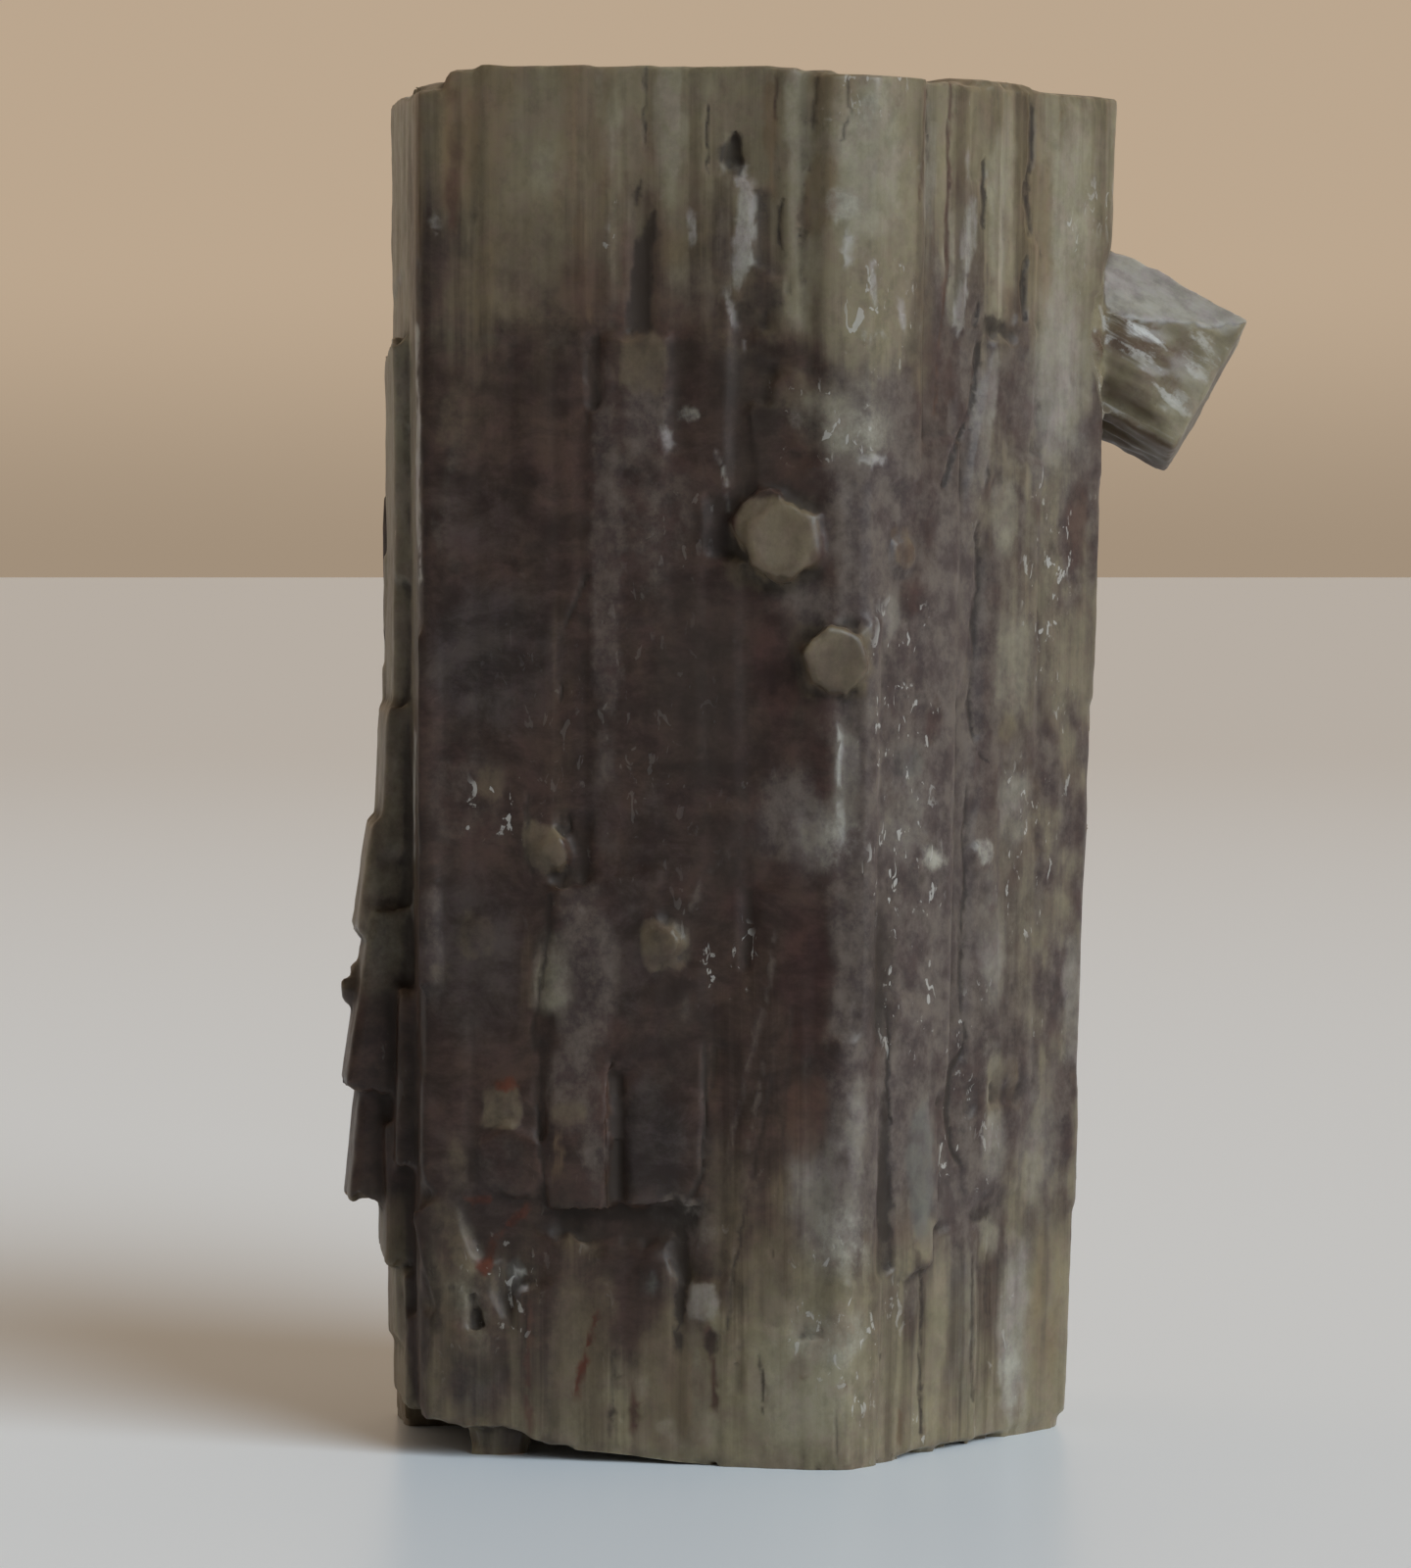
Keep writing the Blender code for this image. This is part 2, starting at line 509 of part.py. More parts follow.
def add_top_tiles(collection, rng):
    """Six-sided columns that end at slightly different heights in the top face."""
    centre = sum((Vector(corner) for corner in TOP_CORNERS.values()), Vector((0, 0))) / len(TOP_CORNERS)
    for number in range(TOP_TILES):
        angle = number * math.radians(137.5)
        spread = math.sqrt((number + 0.5) / TOP_TILES)
        across = centre + Vector((10.2 * spread * math.cos(angle), 7.6 * spread * math.sin(angle)))
        radius = rng.uniform(1.5, 3.4)
        height = rng.uniform(2.0, 3.0)
        top = CORE_TOP + rng.uniform(0.06, 0.34)
        bm = bmesh.new()
        bmesh.ops.create_cone(bm, cap_ends=True, segments=6, radius1=radius, radius2=radius, depth=height)
        turn = Matrix.Rotation(math.radians(rng.uniform(0, 12) + 20), 4, "Z")
        place = Matrix.Translation((across.x, across.y, top - height / 2))
        obj = add_object(f"top_tile_{number:02d}", bm, collection, place @ turn)
        as_guide(obj)


def add_side_crystal(collection):
    """The large crystal on the right, a six-sided prism with a slanting facet and a flat end."""
    axis = Vector(SIDE_CRYSTAL_AXIS).normalized()
    bm = bmesh.new()
    bmesh.ops.create_cone(
        bm, cap_ends=True, segments=6,
        radius1=SIDE_CRYSTAL_RADIUS * 0.94, radius2=SIDE_CRYSTAL_RADIUS, depth=SIDE_CRYSTAL_LENGTH,
    )
    turn = axis.to_track_quat("Z", "Y").to_matrix().to_4x4()
    roll = Matrix.Rotation(math.radians(SIDE_CRYSTAL_ROLL), 4, "Z")
    centre = Vector(SIDE_CRYSTAL_TIP) - axis * SIDE_CRYSTAL_LENGTH / 2
    bmesh.ops.transform(bm, matrix=Matrix.Translation(centre) @ turn @ roll, verts=bm.verts)
    cut = bmesh.ops.bisect_plane(
        bm, geom=bm.verts[:] + bm.edges[:] + bm.faces[:], dist=1e-4,
        plane_co=SIDE_FACET_AT, plane_no=SIDE_FACET_OUTWARD, clear_outer=True,
    )
    rim = [item for item in cut["geom_cut"] if isinstance(item, bmesh.types.BMEdge)]
    bmesh.ops.contextual_create(bm, geom=rim)
    obj = add_object("side_crystal", bm, collection)
    as_guide(obj)


def add_nub(collection):
    """The short rounded crystal under the raised corner, which shares the flat foot."""
    width, depth, height = NUB_SIZE
    bm = bmesh.new()
    bmesh.ops.create_cone(bm, cap_ends=True, segments=8, radius1=width * 0.36, radius2=width * 0.5, depth=height)
    bmesh.ops.scale(bm, vec=(1, depth / width, 1), verts=bm.verts)
    obj = add_object("corner_nub", bm, collection, Matrix.Translation((*NUB_AT, height / 2)))
    as_guide(obj)


def add_corner_cut(collection):
    """The cutter that raises the lower left corner off the foot plane."""
    bm = bmesh.new()
    bmesh.ops.create_cube(bm, size=1.0)
    bmesh.ops.scale(bm, vec=(14.0, 14.0, 4.0), verts=bm.verts)
    turn = Matrix.Rotation(math.radians(-6.5), 4, "Y") @ Matrix.Rotation(math.radians(4.0), 4, "X")
    place = Matrix.Translation((-12.6, -8.8, RAISED_CORNER - 2.0))
    obj = add_object("cut_raised_corner", bm, collection, place @ turn)
    as_guide(obj)


def add_boolean(obj, name, collection, operation):
    """Join a collection to an object, or cut it out of the object."""
    modifier = obj.modifiers.new(name, "BOOLEAN")
    modifier.operation = operation
    modifier.operand_type = "COLLECTION"
    modifier.collection = collection
    modifier.solver = "EXACT"


def aragonite_material():
    """Smoky violet to greenish aragonite with a vitreous surface."""
    material = bpy.data.materials.new("aragonite")
    material.use_nodes = True
    shader = material.node_tree.nodes["Principled BSDF"]
    shader.inputs["Base Color"].default_value = (0.17, 0.145, 0.125, 1.0)
    shader.inputs["Roughness"].default_value = 0.35
    shader.inputs["Metallic"].default_value = 0.0
    return material


def main():
    clear_scene()
    rng = random.Random(SEED)
    parts = new_collection("aragonite_crystal")
    worn = new_collection("worn_corner")
    growth = new_collection("growth")
    gaps = new_collection("gaps")

    column = build_core(parts)
    add_corner_cut(worn)

    for face, blades in (
        ("front", FRONT_BLADES), ("front_right", FRONT_RIGHT_BLADES), ("left", LEFT_BLADES),
    ):
        for blade in blades:
            add_blade(face, blade, growth, rng)
    for face, ends in (("front", FRONT_ENDS), ("front_right", FRONT_RIGHT_ENDS), ("left", LEFT_ENDS)):
        for end in ends:
            add_end(face, end, growth)
    for face, count in REAR_BLADES.items():
        add_rear_blades(face, count, growth, rng)
    for face, count in REAR_ENDS.items():
        add_rear_ends(face, count, growth, rng)
    add_top_tiles(growth, rng)
    add_side_crystal(growth)
    add_nub(growth)

    for face, clefts in (
        ("front", FRONT_CLEFTS), ("front_right", FRONT_RIGHT_CLEFTS), ("left", LEFT_CLEFTS),
    ):
        for cleft in clefts:
            add_cleft(face, cleft, gaps)
    add_crack(gaps)

    add_boolean(column, "raise_corner", worn, "DIFFERENCE")
    add_boolean(column, "grow", growth, "UNION")
    add_boolean(column, "open_gaps", gaps, "DIFFERENCE")
    column.data.materials.append(aragonite_material())


main()
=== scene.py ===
"""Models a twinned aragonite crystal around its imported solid, with its finish, and sets a plain stage."""

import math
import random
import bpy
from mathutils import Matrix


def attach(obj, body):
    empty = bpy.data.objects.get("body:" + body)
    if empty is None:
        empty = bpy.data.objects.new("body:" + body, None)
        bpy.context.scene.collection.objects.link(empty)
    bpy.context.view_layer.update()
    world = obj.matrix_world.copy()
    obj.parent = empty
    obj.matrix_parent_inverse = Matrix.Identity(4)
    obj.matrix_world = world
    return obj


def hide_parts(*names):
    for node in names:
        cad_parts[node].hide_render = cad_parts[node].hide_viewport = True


bl_info = {
    "name": "Twinned Aragonite",
    "version": (1, 0, 0),
    "blender": (4, 5, 0),
    "location": "View3D > Sidebar > Aragonite",
    "description": "Grow a bladed, striated aragonite column with a side crystal, and light it softly",
    "category": "Add Mesh",
}

from typing import NamedTuple

import bmesh
import bpy
import numpy as np
from bpy.props import FloatProperty, FloatVectorProperty, IntProperty, PointerProperty
from mathutils import Matrix, Vector
from mathutils.bvhtree import BVHTree

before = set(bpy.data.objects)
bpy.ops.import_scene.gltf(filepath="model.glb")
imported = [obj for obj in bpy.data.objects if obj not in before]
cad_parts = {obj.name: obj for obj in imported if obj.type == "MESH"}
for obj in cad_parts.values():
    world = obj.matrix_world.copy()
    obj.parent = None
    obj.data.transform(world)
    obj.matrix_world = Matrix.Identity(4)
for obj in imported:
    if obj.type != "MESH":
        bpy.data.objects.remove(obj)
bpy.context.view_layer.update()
COLUMN_NODE = "aragonite"
BODY = "root"
MM = 0.001

# Plan of the column in millimetres: the corners of its foot and of its top, in the same order.
FOOT_CORNERS = ((-11.2, -8.4), (3.2, -10.9), (11.0, -1.9), (8.3, 8.0), (-4.4, 10.2), (-12.6, 0.6))
TOP_CORNERS = ((-11.3, -8.6), (3.3, -11.0), (13.9, -1.5), (9.6, 8.9), (-4.8, 10.9), (-12.7, 0.4))
HEIGHT = 50.0

# The upright edge between the two front sides, as far across as this. Beyond TURN_AT the front turns away,
# and SIDE_LEAN makes up for it. Then come how far forward seams, fewer clouds and fine detail lie.
FRONT_EDGE_AT = 3.75
TURN_AT = 4.0
SIDE_LEAN = 0.9
SEAM_FRONT = (4.0, 6.0)
CALM_FRONT = (3.0, 6.0)
DETAILED_FRONT = (-1.5, 2.5)

SIDE_CRYSTAL_AT = Vector((17.6, 1.0, 38.95))
SIDE_CRYSTAL_AXIS = Vector((0.87, -0.10, -0.48)).normalized()
SIDE_CRYSTAL_RISE = Vector((0.48, 0.0, 0.87)).normalized()

# The side crystal starts between the first two along its axis, and ends between the next two away from it.
# Its root lies so far back, and the root's looks fade between the last two. All in millimetres.
SIDE_CRYSTAL_STARTS = (-6.4, -5.2)
SIDE_CRYSTAL_WIDE = (3.7, 4.3)
ROOT_BACK = 3.0
ROOT_FADES = (0.8, 3.2)

# How far the blades stand out of the plain column once they are drawn together, in millimetres, how the gaps
# between them fill, and how much of the left side's steps is kept.
FLUSH = 1.0
GAP_LEVEL = 0.72
GAP_SHARE = 0.05
LEFT_STEPS = 0.95
LEFTWARD = -0.9

# Only what stands between these two, in millimetres, is drawn together.
GAP_FLOOR = (-3.0, -2.4)
BLADE_TOP = (1.8, 2.4)

# Slivers, in millimetres: their heights and thickness, the shares of their length where the surface is felt
# for, how far outside the side that starts and how far it reaches, and the most that the surface may differ.
SLIVER_HEIGHTS = (3.0, 5.0, 8.0, 13.0, 18.0)
SLIVER_THICK = 1.4
SLIVER_PROBES = (0.03, 0.35, 0.65, 0.97)
PLANE_OUT = 8.0
RAY_REACH = 14.0
MOST_UNEVEN = 0.4

# How rough the crystal at the right is where it meets the column, and how much calmer it is elsewhere.
ROOT_RELIEF = 0.16
SIDE_CALM = 0.7
SIDE_STRAIGHT = 0.6

# The heights where the grooved ends begin, and where the end faces do, which look straight up or down.
FOOT_GROOVED = (5.0, 9.0)
TOP_GROOVED = (40.0, 44.0)
FOOT_FACE = (1.6, 2.2)
TOP_FACE = (48.9, 49.3)
FACE_LEVEL = (0.6, 0.9)

# The heights between which both ends turn crisp instead of softened, and straight instead of ragged.
FOOT_CRISP = (0.3, 0.8)
TOP_CRISP = (48.9, 49.5)
FOOT_STRAIGHT = (0.6, 2.0)
TOP_STRAIGHT = (47.6, 48.8)

# Blade edges stray more upwards than sideways. This share of what would move them in or out is taken away.
UPRIGHT_STRAY = 3.0
STRAY_FLAT = 0.8

# Rounds of averaging that find fine hollows and broad ones, and the depths at which they count in full.
NEAR = 6
FAR = 40
# Hollows as deep as the next two take the dark cleft tint in full, as painted shade.
DEEP_CLEFT = 0.18
FINE_CLEFT = 0.06
WORN_EDGE = 0.05
SHARP_EDGE = 0.03

# Fields of noise: cells per millimetre along each axis, a seed and, if it isn't three, how many layers.
WANDER_ACROSS = (((0.42, 0.42, 0.16), 11, 4), ((0.42, 0.42, 0.16), 12, 4))
WANDER_UP = ((1.3, 1.3, 0.25), 13)
FINE_GROOVES = ((1.9, 1.9, 0.05), 21)
FINER_GROOVES = ((3.8, 3.8, 0.10), 22)
GROOVE_CLOUDS = ((0.25, 0.25, 0.07), 23, 2)
SWELLINGS = ((0.8, 0.8, 0.45), 24)
BITES = ((1.1, 1.1, 0.45), 31)
SEAM_STRAY = ((3.4, 3.4, 2.2), 33, 2)
SEAM_BREAKS = ((1.1, 1.1, 0.7), 34)
WISPS = ((0.50, 0.50, 0.14), 51)
CLOUDS = ((0.28, 0.28, 0.22), 52)
BLOTS = ((0.9, 0.9, 0.7), 53)
MILKINESS = ((0.7, 0.7, 0.3), 54)
FLAW_CLOUDS = ((0.35, 0.35, 0.2), 55)
FRAYING = ((2.6, 2.6, 1.8), 56, 2)
SIDE_BANDS = ((1.5, 1.5, 0.14), 61)
SIDE_CLOUDS = ((0.6, 0.6, 0.6), 62)
ROOT_LUMPS = ((2.2, 2.2, 0.45), 63)

# The foot's front edge is lifted a little towards the left, except on the nub under the broken corner, and a
# stretch beside the nub hangs lower. Points below FOOT_HELD stay above the ground, and those below FOOT_FLAT
# lie flat. All in millimetres.
FOOT_FRONT = (5.5, 8.0)
FOOT_LIFT = 0.42
LIFT_GROWS = (0.5, 6.5)
FOOT_DROP = 0.30
DROP_STARTS = (0.3, 0.5)
DROP_ENDS = (0.9, 2.2)
CHIP_STARTS = (-8.4, -7.6)
CHIP_ENDS = (-6.3, -6.1)
NUB_AT = (-9.0, -7.9)
NUB_REACH = 1.9
FOOT_HELD = 0.25
FOOT_FLAT = 0.12

# Patches: how square crisp ones and soft ones are, how they fade past their outline, the most that it frays,
# how deep under the side they reach, and how far past a side's ends they may lie, in millimetres.
SQUARE = 5.0
ROUND = 2.4
OUTER_FADE = 0.6
MOST_FRAYED = 0.5
PATCH_DEPTH = (3.0, 4.5)
BEFORE_SIDE = 1.5
BEYOND_SIDE = 2.5

# Seams: how far they stray sideways and fade outwards in millimetres, and the whole share of their width.
SEAM_WANDER = 0.06
SEAM_FADE = 0.07
SEAM_CORE = 0.3

# How far the surface is swollen and then drawn back, in millimetres, which closes gaps up to twice as wide.
CLOSING = 0.12

# How readily triangles collapse, from the front to the rear.
READINESS = (0.10, 0.25, 0.40, 0.55, 0.65)

# The top face counts as rear: how level and how high it is.
TOP_LEVEL = (0.8, 0.95)
TOP_HEIGHT = (46.0, 49.0)

# Edges that turn by more than this are shaded as sharp.
SHARP_ANGLE = math.radians(50)

# The stage: half the floor's width in metres, how rough it is, the light's tint, how far up the backdrop is
# darker and by how much, and where it gives way to the camera's side.
FLOOR_HALF = 40.0
FLOOR_ROUGHNESS = 0.32
LIGHT_COLOUR = (0.88, 1.0, 1.08)
WALL_FOOT = (0.0, 0.06)
WALL_FOOT_SHADE = 0.72
WALL_BEGINS = (-0.5, 0.7)

# The camera: its place in metres, how far it looks down in degrees, its lens and sensor in millimetres, and
# the nearest that it sees in metres.
CAMERA_AT = (-0.0015, -0.2, 0.03223)
CAMERA_DIP = 2.294
CAMERA_LENS = 120.8
CAMERA_SENSOR = 36.0
CAMERA_NEAREST = 0.01

# How much higher or lower the column's top rim is along the front: across and rise, in millimetres.
RIM = (
    (-14.0, -0.16), (-10.93, -0.14), (-10.86, 0.12), (-9.4, 0.08), (-8.6, 0.0),
    (6.6, 0.0), (7.4, 0.12), (10.2, 0.12), (10.8, 0.0), (14.0, 0.0),
)
RIM_HEIGHT = (48.6, 49.6)
RIM_FRONT = (2.0, 6.0)

# Broad zones of tint, from where they begin to where they are whole, in millimetres.
TOP_ZONE = (38.0, 47.5)
FOOT_ZONE = (-3.5, 4.0)
FOOT_ZONE_TOP = 7.0
RIGHT_ZONE = (1.9, 4.2)
RIGHT_PANEL = (8.0, 9.0)
# From LEFT_ZONE on, the left side is painted lighter, as light shining through it.
LEFT_ZONE = (11.7, 12.5)
MOSSY_ZONE = (34.0, 42.0)


class Patch(NamedTuple):
    """A cloudy region of one tint: its middle across and up, and half its width and height."""

    tint: str
    across: float
    up: float
    wide: float
    tall: float
    strength: float = 1.0
    soft: float = 0.4
    lean: float = 0.0


class Seam(NamedTuple):
    """A thin line of one tint, cut a little into the surface, through places across and up."""

    tint: str
    wide: float
    deep: float
    strength: float
    course: tuple


def entries(kind, groups):
    """One entry of this kind for every row, with the name that its group shares."""
    return tuple(kind(name, *row) for name, rows in groups for row in rows)


# The clouds of tint on the visible front, in millimetres across and up as seen from in front. Later groups
# lie over earlier ones, so some tints come up more than once. Each row has a Patch's numbers in their order.
PATCHES = entries(Patch, (
    ("milk", (
        (4.5, 48.6, 0.35, 0.8, 0.4), (3.4, 45.4, 0.5, 0.5, 0.45), (4.7, 40.7, 0.4, 0.2, 0.5),
        (-2.1, 37.9, 0.3, 0.2, 0.4), (1.7, 37.7, 0.35, 0.4, 0.3, 0.3), (4.3, 37.4, 1.3, 1.1, 0.3, 0.8),
        (3.3, 22.7, 0.8, 0.9, 0.45, 0.8), (8.6, 22.1, 0.42, 0.42, 0.55, 0.5),
        (6.7, 21.9, 0.7, 0.5, 0.5, 0.7, -0.6), (3.4, 8.2, 1.0, 1.6, 0.42, 0.8),
        (3.0, 4.8, 1.4, 1.0, 0.35, 0.4, 0.3), (9.9, 2.2, 0.6, 1.5, 0.45),
    )),
    ("mauve", (
        (6.6, 47.4, 0.5, 2.6, 0.45), (11.6, 39.6, 2.2, 4.6, 0.6, 0.8), (8.6, 37.2, 0.5, 3.2, 0.35, 0.3, 0.16),
        (5.2, 30.7, 0.6, 0.9, 0.35), (3.5, 24.6, 0.5, 2.1, 0.4), (5.6, 24.0, 1.6, 2.4, 0.3, 0.8),
        (9.9, 23.6, 1.1, 1.6, 0.35), (2.7, 22.9, 1.5, 1.2, 0.5, 0.8), (9.0, 18.2, 0.9, 2.8, 0.4, 0.7),
        (12.4, 16.4, 0.7, 2.6, 0.4), (9.2, 11.2, 0.8, 1.6, 0.4, 0.7), (6.3, 11.2, 0.6, 2.2, 0.45),
        (2.5, 10.8, 1.3, 2.4, 0.5, 0.7), (3.9, 10.6, 0.5, 3.0, 0.4), (10.9, 10.6, 1.3, 3.0, 0.32, 0.8),
        (-1.9, 8.8, 0.9, 1.3, 0.4, 0.7), (2.8, 8.6, 1.2, 2.0, 0.4, 0.8), (-1.6, 6.0, 0.6, 0.7, 0.55, 0.25),
        (-9.6, 5.6, 0.4, 0.9, 0.3, 0.4, -0.3), (10.1, 4.2, 1.1, 3.8, 0.65, 0.7),
    )),
    # Flaws: places of tiny white flaws, with painted glints on them and stronger mottling.
    ("flaws", (
        (-4.9, 44.0, 0.4, 2.0, 0.7), (5.0, 41.4, 1.6, 2.2, 0.6), (3.8, 37.6, 1.6, 1.6, 0.6),
        (11.2, 32.0, 1.6, 4.4, 0.95), (5.6, 27.5, 2.2, 4.0, 0.85), (-5.0, 26.0, 7.0, 12.0, 0.24, 0.9),
        (-9.2, 23.8, 1.6, 1.2, 0.7), (10.4, 22.0, 1.9, 3.6, 0.9), (5.6, 21.0, 2.2, 3.4, 0.95),
        (-0.6, 18.4, 1.2, 1.6, 0.7), (5.8, 16.6, 1.6, 2.4, 0.8), (7.6, 11.6, 0.9, 2.0, 0.7),
        (-9.0, 6.0, 1.6, 2.6, 0.5), (3.2, 5.6, 2.2, 3.0, 0.6),
    )),
    ("slate", (
        (-9.8, 34.4, 2.2, 1.8, 0.4, 0.8), (-9.2, 29.2, 2.7, 2.8, 0.75), (-10.0, 18.4, 2.2, 3.4, 0.6),
        (-3.3, 11.6, 1.3, 2.4, 0.8),
    )),
    ("rust", (
        (-8.7, 13.7, 0.36, 0.18, 0.8, 0.6), (-10.1, 9.5, 0.25, 0.14, 0.8, 0.5),
        (-9.6, 9.5, 0.5, 0.22, 0.9, 0.5, 0.5), (-8.6, 8.6, 0.34, 0.95, 1.0, 0.5, 0.9),
        (-9.3, 7.7, 0.26, 0.75, 1.0, 0.5, 0.3), (-5.85, 3.9, 0.16, 1.1, 0.85, 0.4, 0.25),
        (2.0, 3.4, 0.16, 0.3, 0.6), (3.6, 3.1, 0.12, 0.4, 0.6),
    )),
    # Bright patches: painted highlights on bright facets and glints, with some tiny white flecks.
    ("frost", (
        (8.1, 47.2, 0.25, 0.8, 0.5), (-0.15, 45.0, 0.33, 1.9, 0.5, 0.2), (-11.2, 44.6, 0.2, 0.5, 0.3),
        (-5.0, 44.6, 0.2, 0.3, 0.5), (-2.0, 44.5, 0.13, 0.5, 0.6, 0.3), (8.0, 43.7, 0.3, 2.4, 0.5, 0.3, 0.16),
        (3.6, 43.7, 0.12, 0.6, 0.6), (4.6, 42.7, 0.1, 0.8, 0.5), (5.5, 41.4, 0.16, 0.5, 0.6),
        (-0.45, 41.3, 0.13, 0.8, 0.5, 0.4, -0.3), (-2.9, 37.2, 0.25, 0.45, 0.5, 0.4, -0.3),
        (4.4, 36.3, 0.9, 0.14, 0.6, 0.6), (1.9, 22.5, 0.2, 0.14, 0.7), (-8.35, 6.8, 0.16, 0.12, 0.8),
        (-8.15, 6.3, 0.2, 0.12, 0.8, 0.4, 0.5), (-9.05, 4.6, 0.13, 0.3, 0.6, 0.4, -0.3),
    )),
    ("green", (
        (-2.6, 47.9, 3.0, 3.0, 0.9), (1.6, 47.8, 1.4, 2.8, 0.9), (-7.6, 47.6, 2.2, 3.8, 0.9),
        (4.7, 45.2, 2.4, 6.0), (11.9, 45.0, 2.6, 6.5, 0.95), (9.9, 20.6, 1.6, 6.4, 0.4, 0.7),
        (10.0, 8.4, 0.7, 1.6, 0.6), (2.6, 3.6, 2.7, 5.2, 1.0, 0.6), (7.2, 3.2, 2.6, 4.4, 0.9, 0.6),
    )),
    ("mist", (
        (5.7, 25.4, 0.9, 0.6, 0.4), (4.7, 17.0, 0.5, 1.6, 0.3), (6.2, 10.4, 0.8, 2.8, 0.55),
        (-8.5, 6.6, 0.35, 0.7, 0.6), (-3.3, 6.6, 0.35, 0.5, 0.7),
    )),
    ("umber", (
        (-10.6, 46.2, 0.35, 3.4, 0.65, 0.8, 0.06), (7.9, 45.2, 0.45, 3.4, 0.3), (1.7, 36.6, 0.8, 1.5, 0.45),
        (-7.9, 3.8, 0.14, 2.1, 0.8), (-1.25, 3.4, 0.2, 1.6, 0.85, 0.4, -0.08), (-4.15, 2.4, 0.18, 1.1, 0.8),
    )),
    # Dark patches: dirt in cracks, and painted shade in holes, recesses and under raised crystals.
    ("soil", (
        (-0.5, 47.2, 0.36, 0.8, 0.9), (0.5, 42.1, 0.7, 0.6, 0.55), (9.2, 41.3, 1.0, 0.3, 0.75, 0.25),
        (0.0, 37.2, 1.1, 2.8, 0.55, 0.7), (-1.6, 27.9, 1.9, 4.2, 0.7, 0.9), (-5.2, 25.6, 1.6, 1.0, 0.3, 0.9),
        (-0.7, 21.8, 1.5, 1.9, 0.6, 0.9), (6.0, 21.1, 0.7, 0.25, 0.45), (4.8, 18.2, 1.0, 3.0, 0.78, 0.8),
        (-2.0, 16.8, 0.9, 1.8, 0.4, 0.9), (5.0, 12.6, 0.2, 2.2, 0.85, 0.45, -0.04),
        (-6.4, 9.5, 1.0, 0.8, 0.4, 0.7), (5.0, 9.0, 0.4, 2.3, 1.0, 0.35, -0.04),
        (8.9, 8.6, 0.7, 0.22, 0.7, 0.3, 0.2), (-12.5, 5.0, 0.7, 5.0, 0.45),
    )),
    ("lilac", (
        (2.1, 31.0, 1.5, 1.3, 0.95, 0.7), (11.4, 30.0, 1.8, 7.0, 0.6), (3.5, 27.0, 0.9, 2.6, 0.65, 0.7),
        (3.4, 24.8, 0.8, 3.4, 0.65), (1.9, 23.4, 1.8, 1.9, 1.0, 0.7), (5.6, 22.2, 1.9, 3.8, 0.66),
        (11.6, 20.6, 1.5, 7.0, 0.6), (3.4, 17.8, 0.5, 3.4, 0.55), (6.2, 16.4, 1.2, 3.0, 0.68),
        (-3.2, 15.6, 1.6, 2.2, 0.15), (3.0, 13.0, 0.25, 6.0, 0.4), (-5.5, 11.0, 0.4, 1.6, 0.55),
        (11.6, 4.2, 0.4, 3.6, 0.6),
    )),
    ("dusk", (
        (-12.6, 44.5, 0.8, 3.4, 0.6, 0.7), (3.6, 43.4, 1.2, 1.8, 0.3, 0.8), (6.8, 38.2, 2.2, 3.6, 0.55, 0.8),
        (-1.3, 37.8, 1.0, 2.0, 0.5, 0.8), (4.8, 16.8, 0.8, 3.2, 0.6, 0.7), (-8.8, 15.0, 1.8, 3.0, 0.35, 0.8),
        (-4.2, 6.2, 1.6, 3.0, 0.95, 0.6), (6.2, 6.2, 0.9, 2.6, 0.45, 0.7), (-12.2, 6.0, 0.7, 6.0, 0.95),
    )),
    ("green", (
        (1.75, 48.6, 0.6, 2.4), (9.4, 45.8, 1.1, 5.0), (10.0, 30.2, 1.8, 5.6, 0.35, 0.7),
        (6.3, 8.0, 0.7, 0.9, 0.8), (-0.3, 3.0, 1.7, 3.6, 0.9),
    )),
    ("pale", (
        (1.9, 48.4, 0.7, 2.4, 0.6), (4.6, 47.2, 1.4, 3.4, 0.6), (9.4, 46.2, 0.9, 4.8, 0.55),
        (11.9, 45.8, 1.9, 4.8, 0.55, 0.8), (2.0, 44.2, 0.8, 3.6, 0.4, 0.6), (7.6, 43.6, 0.6, 2.0, 0.45),
        (4.2, 37.8, 1.5, 1.6, 0.42, 0.7), (9.4, 34.4, 0.8, 1.4, 0.45), (9.8, 28.8, 1.2, 2.4, 0.4, 0.7),
        (-7.0, 17.8, 0.8, 1.6, 0.45, 0.6), (9.1, 7.6, 0.7, 1.0, 0.4, 0.7), (2.2, 3.2, 2.2, 3.4, 0.5, 0.6),
    )),
    ("lilac", (
        (7.9, 45.6, 0.45, 3.6, 0.7), (3.5, 41.8, 1.2, 2.4, 0.55), (7.6, 37.8, 0.45, 3.2, 0.9, 0.4, 0.22),
        (4.8, 33.8, 2.2, 3.2, 0.55), (5.8, 27.6, 2.1, 4.2, 0.7), (-11.4, 19.6, 0.35, 2.2, 0.35),
        (-6.2, 13.4, 1.0, 1.8, 0.55), (-9.0, 10.8, 1.2, 1.2, 0.3), (6.0, 6.2, 0.7, 1.0, 0.6),
    )),
    ("wine", (
        (2.8, 32.4, 0.6, 1.0, 0.45), (5.9, 31.4, 0.7, 0.6, 0.4), (1.1, 28.8, 1.0, 2.6, 0.65),
        (6.7, 26.9, 0.5, 0.8, 0.35), (2.7, 25.4, 0.45, 1.2, 0.5), (-0.2, 20.6, 0.9, 1.4, 0.6),
        (2.0, 17.2, 1.2, 3.4, 0.7),
    )),
    ("moss", (
        (-7.4, 42.6, 2.9, 3.6, 0.75), (6.2, 40.8, 0.9, 2.8, 0.55), (1.3, 38.9, 0.85, 0.85, 0.5, 0.25),
